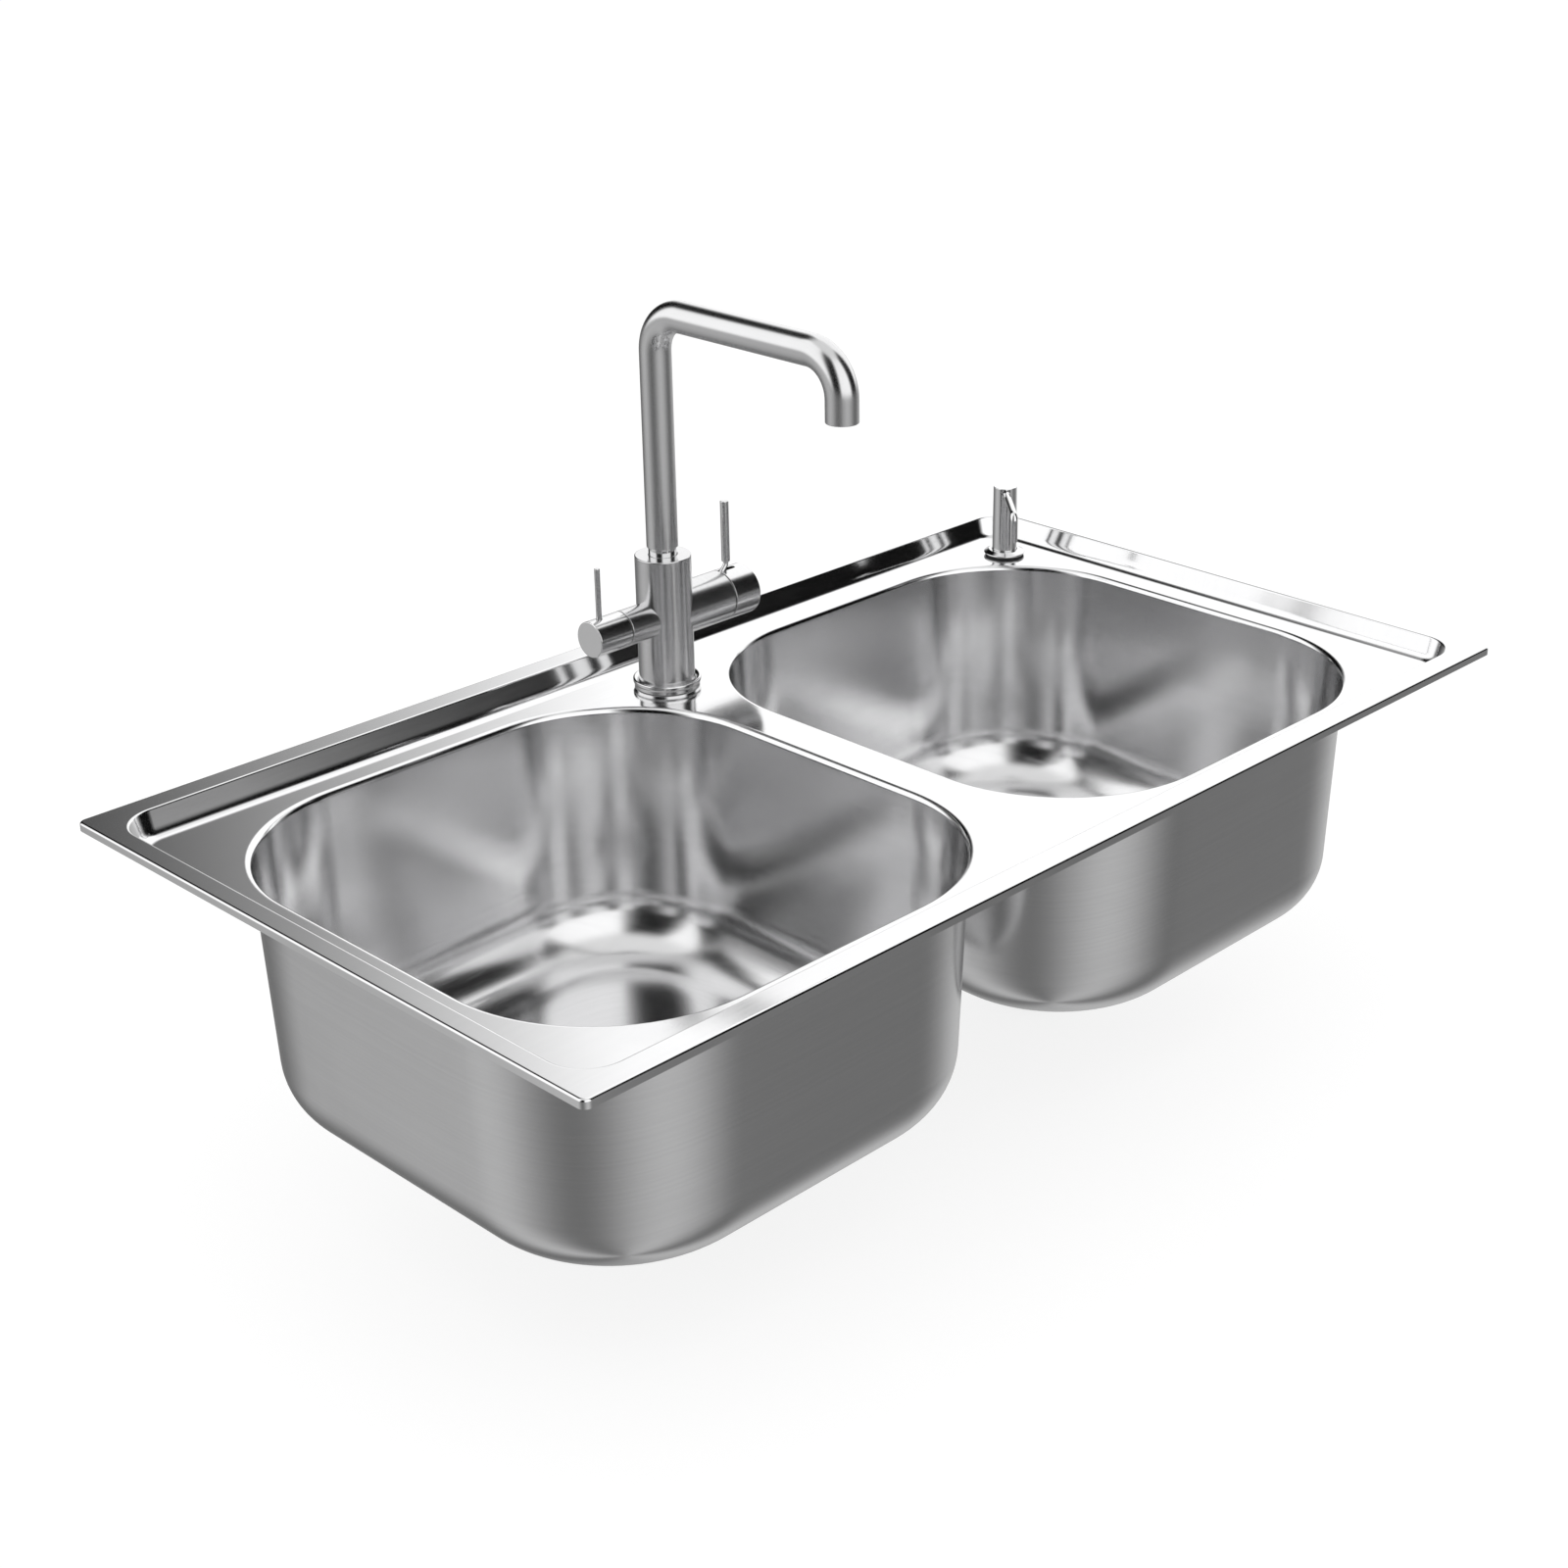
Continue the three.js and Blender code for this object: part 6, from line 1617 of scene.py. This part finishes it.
@dataclass
class SoapDispenser:
    """The pump: collar, press head with its spout, return spring, and the bottle under the deck."""

    x: float = DISPENSER_X
    y: float = DISPENSER_Y
    collar: float = 15.7
    collar_top: float = 11.8
    collar_height: float = 4.6
    collar_underside: float = 1.4
    collar_bore: float = 9.6
    barrel_bore: float = 8.3
    ledge: float = -21.8
    shank: float = 12.0
    shank_length: float = 46.0
    thread: float = 2.0
    head_foot_radius: float = 9.3
    head_top_radius: float = 8.8
    head_foot: float = -1.0
    head_top: float = 54.2
    spout: float = 2.8
    spout_bore: float = 1.7
    spout_height: float = 50.0
    spout_reach: float = 58.0
    spout_bend: float = 4.5
    spout_outlet: float = 29.5
    spout_turn: float = math.radians(-132.5)
    spring_wire: float = 1.0
    spring_radius: float = 6.05
    spring_seat: float = -19.5
    spring_clear: float = 0.95
    spring_turns: float = 4.5
    stroke: float = 10.0
    nut_radius: float = 18.0
    nut_height: float = 7.0
    washer: float = 2.5
    bottle: float = 20.0
    bottle_wall: float = 1.2
    bottle_top: float = -32.0
    bottle_length: float = 132.0
    bottle_neck: float = 16.0

    def _collar(self) -> Surface:
        """The bevelled collar with its threaded shank and the ledge that carries the pump."""
        bore, barrel = self.collar_bore, self.barrel_bore
        low, ledge = -self.shank_length, self.ledge
        section = rounded([
            (bore, self.collar_height, 0.3), (self.collar_top, self.collar_height, 0.5),
            (self.collar, self.collar_height - 2.2, 0.5),
            (self.collar - 0.8, self.collar_underside, 0.3),
            (self.shank, self.collar_underside, 0.2), *wall(self.shank, 0, low + 1, self.thread),
            (self.shank, low, 0.5), (barrel, low, 0.3), (barrel, ledge, 0.3), (bore, ledge, 0.3)],
            steps=4)
        return threaded(lathe(section), self.shank, 0.6, self.thread, low + 1, -1.0)

    def _head(self) -> Surface:
        """The press head: a slightly tapered column with a bevelled top and a socket below."""
        socket, roof = 3.1, self.spout_height - self.spout - 1
        return lathe(rounded([
            (0, roof, 0), (socket, roof, 0.2), (socket, self.head_foot, 0.3),
            (self.head_foot_radius, self.head_foot, 0.3),
            (self.head_top_radius, self.head_top, 0.5),
            (0, self.head_top, 0)], closed=False))

    def _spout(self) -> Surface:
        """The spout: a thin tube out of the head, bent down over the bowl."""
        root = self.head_top_radius - 4 + SEAT_GAP
        route = Route.in_plane([(root, 0, self.spout_height, 0),
                                (self.spout_reach, 0, self.spout_height, self.spout_bend),
                                (self.spout_reach, 0, self.spout_outlet, 0)], (0, 1, 0))
        stations, end = route.lengths, route.lengths[-1]
        section = rounded([(self.spout_bore, 0, 0.2), (self.spout, 0, 0.3), (self.spout, end, 0.4),
                           (self.spout_bore, end, 0.2)], steps=4)
        return turned_along(route, tube_rows(section, stations), 32).spun(self.spout_turn)

    def _spring(self) -> Surface:
        """The return spring: a wire on a helix whose end turns close up.

        The height follows 0.5 - 0.5 cos of the way along, mixed with an even climb.
        """
        radius = self.spring_radius
        low, high = self.spring_seat + self.spring_clear, self.head_foot - self.spring_clear
        share = np.linspace(0, 1, int(self.spring_turns * 40))
        angle = share * self.spring_turns * 2 * np.pi
        climb = 0.75 * share + 0.25 * (0.5 - 0.5 * np.cos(np.pi * share))
        points = np.stack([radius * np.cos(angle), radius * np.sin(angle),
                           low + (high - low) * climb], -1)
        across = np.stack([np.cos(angle), np.sin(angle), 0 * angle], -1)
        route = Route(points, across)
        half, stations = self.spring_wire / 2, route.lengths
        body = np.column_stack([np.full(len(stations), half), stations])
        body[0, 1] += 0.05
        body[-1, 1] -= 0.05
        ends = np.array([[0, stations[0]], [half * 0.8, stations[0]]])
        tail = np.array([[half * 0.8, stations[-1]], [0, stations[-1]]])
        return turned_along(route, np.vstack([ends, body, tail]), 14)

    def _bottle(self) -> Surface:
        """The bottle: a round shell with a soft shoulder and foot and an open threaded neck."""
        neck = self.shank + SEAT_GAP
        shoulder, foot = self.bottle_top - self.bottle_neck, self.bottle_top - self.bottle_length
        inside, outer = self.bottle - self.bottle_wall, neck + self.bottle_wall + 0.8
        return lathe(rounded([
            (0, foot + 1.2, 0), (9, foot + 1.2, 4), (13, foot, 1.5), (self.bottle, foot, 3.5),
            (self.bottle, shoulder - 8, 5.0), (outer, shoulder, 2.0),
            (outer, self.bottle_top - 6, 0.3), (outer + 0.9, self.bottle_top - 5.5, 0.3),
            (outer + 0.9, self.bottle_top - 4, 0.3), (outer, self.bottle_top - 3.5, 0.3),
            (outer, self.bottle_top, 0.5), (neck, self.bottle_top, 0.4), (neck, shoulder - 1, 1.5),
            (inside, shoulder - 9, 4.0), (inside, foot + self.bottle_wall, 3.0),
            (0, foot + self.bottle_wall + 1.2, 0)], closed=False))

    def _nut(self, top: float) -> Surface:
        """The plastic nut: six flats with a flange above them."""
        bore, low, outer = self.shank + SEAT_GAP, top - self.nut_height, self.nut_radius
        section = rounded([(bore, top, 0.3), (outer - 1.5, top, 0.4), (outer, top - 1.2, 0.4),
                           (outer, low + 1, 0.2), (outer - 1.6, low, 0.3), (bore, low, 0.3)])
        return hexagonal(lathe(section, 144), outer, bore + 2)

    def build(self) -> None:
        """Make the dispenser's pieces."""
        place = (self.x, self.y, DECK_TOP)
        washer_top = -SHEET - SEAT_GAP
        low = washer_top - self.washer
        ring = washer(self.shank + SEAT_GAP, self.nut_radius - 1, washer_top, self.washer)
        turn = self.spout_turn
        socket = lathe(np.array([(0, 4.8), (3.1, 4.8), (3.1, 12.0), (0, 12.0)]), 32).about_x()
        socket = socket.moved(0, 0, self.spout_height).spun(turn)
        make("bevelled_collar", self._collar().moved(*place), FITTING_POLISH, Body.SINK,
             "dispenser_collar")
        make("press_column", self._head().moved(*place), FITTING_POLISH, Body.PRESS_HEAD,
             "press_head", cutters=[socket.moved(*place)],
             regrain=round_z(self.x, self.y))
        make("soap_spout", self._spout().moved(*place), FITTING_POLISH, Body.PRESS_HEAD,
             "head_spout")
        spring = make("return_spring", self._spring().moved(*place), SPRING_STEEL, Body.SINK,
                      "pump_spring")
        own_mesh(spring)
        make("dispenser_soft_washer", ring.moved(*place), RUBBER, Body.SINK,
             "dispenser_washer")
        make("dispenser_hexagon_nut", self._nut(low - SEAT_GAP).moved(*place), GREY_PLASTIC,
             Body.SINK, "dispenser_nut")
        make("soap_flask", self._bottle().moved(*place), WHITE_PLASTIC, Body.SINK,
             "soap_bottle")


@dataclass
class HiddenParts:
    """The CAD pieces that stay as they are, inside the tap and the pump; each gets its finish."""

    finishes: dict[str, tuple[Finish, Slot]] = field(default_factory=lambda: {
        "tap_base_seal": (RUBBER, Slot.RUBBER),
        "spout_lower_oring": (RUBBER, Slot.RUBBER),
        "spout_upper_oring": (RUBBER, Slot.RUBBER),
        "mixer_cartridge": (WHITE_PLASTIC, Slot.WHITE),
        "mixer_ring_nut": (BRASS_INSIDE, Slot.BRASS),
        "filter_cartridge": (BRASS_INSIDE, Slot.BRASS),
        "filter_spindle": (BRASS_INSIDE, Slot.BRASS),
        "dispenser_seal": (RUBBER, Slot.RUBBER),
        "pump_stem": (WHITE_PLASTIC, Slot.WHITE),
        "pump_barrel": (WHITE_PLASTIC, Slot.WHITE),
        "dip_tube": (WHITE_PLASTIC, Slot.WHITE),
    })

    def build(self, nodes: dict[str, bpy.types.Object]) -> None:
        """Dress the pieces.

        Args:
            nodes: the frame's CAD objects by name.
        """
        for name, (finish, slot) in self.finishes.items():
            node = nodes[name]
            node.data.materials.clear()
            node.data.materials.append(finish.material())
            LOG.info("%s: dressed as %s", name, finish.name)


# ---------------------------------------------------------------- studio


@dataclass
class Studio:
    """Camera, floor, soft light and the world that the steel mirrors.

    Seen by gloss, the world has three broad pale screens round the sink with darker gaps between
    them, above a grey lower half. A plain level lights everything else, and the camera sees white.
    """

    camera_place: tuple[float, float, float] = (-1062.0, -1050.5, 645.2)
    heading: float = math.radians(43.132)
    pitch: float = math.radians(21.905)
    roll: float = math.radians(-0.017)
    lens: float = 59.465
    shift: tuple[float, float] = (-0.0766, -0.0738)
    floor_height: float = -264.4
    floor_radius: float = 9000.0
    screens: float = 3.0
    first_screen: float = math.radians(20)
    screen_level: float = 1.25
    lower_level: float = 0.36
    lower_swing: float = 0.18
    zenith_level: float = 0.9
    plain_level: float = 0.78

    def _camera(self) -> None:
        """The camera at the photograph's place, turned by its heading, pitch and roll."""
        data = bpy.data.cameras.new("photo_camera")
        data.sensor_width, data.lens = 36.0, self.lens
        data.shift_x, data.shift_y = self.shift
        data.clip_start, data.clip_end = 0.05, 100.0
        camera = bpy.data.objects.new("photo_camera", data)
        bpy.context.scene.collection.objects.link(camera)
        forward = Vector((math.cos(self.heading) * math.cos(self.pitch),
                          math.sin(self.heading) * math.cos(self.pitch), -math.sin(self.pitch)))
        right = Vector((math.sin(self.heading), -math.cos(self.heading), 0))
        up = right.cross(forward)
        turn = Matrix((right, up, -forward)).transposed().to_4x4()
        place = Matrix.Translation(Vector(self.camera_place) * MM)
        camera.matrix_world = place @ turn @ Matrix.Rotation(self.roll, 4, "Z")
        bpy.context.scene.camera = camera

    def _world(self) -> None:
        """The world: c = cos(n (azimuth - first screen)) sets how bright each direction is.

        Above the horizon the level is screen_level t^2, where t rises from 0 to 1 as c goes from
        -0.85 to 0. Below it the level is lower_level + lower_swing c, and the zenith is even.
        """
        world = bpy.data.worlds.new("studio_world")
        bpy.context.scene.world = world
        world.use_nodes = True
        wiring = Wiring(world.node_tree)
        world.cycles.sampling_method = "NONE"
        background = world.node_tree.nodes["Background"]
        toward = wiring.add("ShaderNodeTexCoord").outputs["Generated"]
        unit = wiring.add("ShaderNodeVectorMath", {0: toward}, operation="NORMALIZE").outputs[0]
        parts = wiring.add("ShaderNodeSeparateXYZ", {0: unit}).outputs
        azimuth = wiring.maths("ARCTAN2", parts[1], parts[0])
        turn = wiring.maths("MULTIPLY_ADD", azimuth, self.screens,
                            -self.screens * self.first_screen)
        wave = wiring.maths("COSINE", turn)
        rise = wiring.spread(wave, -0.85, 0.0)
        upper = wiring.maths("MULTIPLY_ADD", wiring.maths("POWER", rise, 2.0), self.screen_level,
                             0.005)
        lower = wiring.maths("MULTIPLY_ADD", wave, self.lower_swing, self.lower_level)
        side = wiring.mixed(wiring.spread(parts[2], -0.16, 0.06, smooth=True), lower, upper)
        glossy = wiring.mixed(wiring.spread(parts[2], 0.8, 0.95, smooth=True), side,
                              self.zenith_level)
        path = wiring.add("ShaderNodeLightPath").outputs
        level = wiring.mixed(path["Is Glossy Ray"], self.plain_level, glossy)
        seen = wiring.maths("MAXIMUM", path["Is Camera Ray"], path["Is Transmission Ray"])
        wiring.tree.links.new(wiring.mixed(seen, level, 1.0), background.inputs["Strength"])
        background.inputs["Color"].default_value = (1, 1, 1, 1)

    def _floor(self) -> None:
        """A pale floor: partly diffuse, so that it keeps a faint shadow, and clear from below."""
        disc = lathe(np.array([(0, -3.0), (self.floor_radius, -3.0), (self.floor_radius, 0.0),
                               (0, 0.0)]), 64).moved(0, 0, self.floor_height)
        floor = _plain("studio_floor", disc)
        material = bpy.data.materials.new("studio_floor_paint")
        material.use_nodes = True
        wiring = Wiring(material.node_tree)
        tree = material.node_tree
        tree.nodes.remove(tree.nodes["Principled BSDF"])
        path = wiring.add("ShaderNodeLightPath").outputs
        diffuse = wiring.add("ShaderNodeBsdfDiffuse", {"Color": (0.3, 0.3, 0.3, 1)})
        glow = wiring.add("ShaderNodeEmission", {
            "Strength": wiring.mixed(path["Is Camera Ray"], 0.35, 0.8)})
        paint = wiring.add("ShaderNodeAddShader", {0: diffuse.outputs[0], 1: glow.outputs[0]})
        clear = wiring.add("ShaderNodeBsdfTransparent")
        height = wiring.add("ShaderNodeSeparateXYZ",
                            {0: wiring.add("ShaderNodeNewGeometry").outputs["Normal"]}).outputs[2]
        below = wiring.maths("MAXIMUM", wiring.add("ShaderNodeNewGeometry").outputs["Backfacing"],
                             wiring.maths("LESS_THAN", height, 0.5))
        whole = wiring.add("ShaderNodeMixShader", {0: below, 1: paint.outputs[0],
                                                   2: clear.outputs[0]})
        tree.links.new(whole.outputs[0], tree.nodes["Material Output"].inputs["Surface"])
        floor.data.materials.append(material)
        floor.visible_glossy = False

    def _lamp(self) -> None:
        """A large soft lamp overhead that rounds off the diffuse pieces and isn't mirrored."""
        data = bpy.data.lights.new("soft_lamp", "AREA")
        data.shape, data.size, data.energy = "DISK", 2.4, 9.0
        lamp = bpy.data.objects.new("soft_lamp", data)
        lamp.location = (-0.6, -0.9, 2.6)
        lamp.rotation_euler = Vector((0.6, 0.9, -2.6)).to_track_quat("-Z", "Y").to_euler()
        lamp.visible_glossy = False
        bpy.context.scene.collection.objects.link(lamp)

    def build(self) -> None:
        """Set the studio up."""
        self._camera()
        self._world()
        self._floor()
        self._lamp()
        bpy.context.scene.view_settings.view_transform = "Standard"
        LOG.info("studio ready")


def main() -> None:
    logging.basicConfig(level=logging.INFO, format="%(message)s")
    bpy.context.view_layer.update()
    Studio().build()
    deck = PressedDeck()
    deck.build()
    for side in Side:
        DrawnBowl(side, deck).build()
        WasteOutlet(side).build()
        StrainerBasket(side).build()
    TapColumn().build()
    SwivelSpout().build()
    MixerHandle().build()
    FilterHandle().build()
    SoapDispenser().build()
    HiddenParts().build(frame["nodes"])


if __name__ == "__main__":
    main()
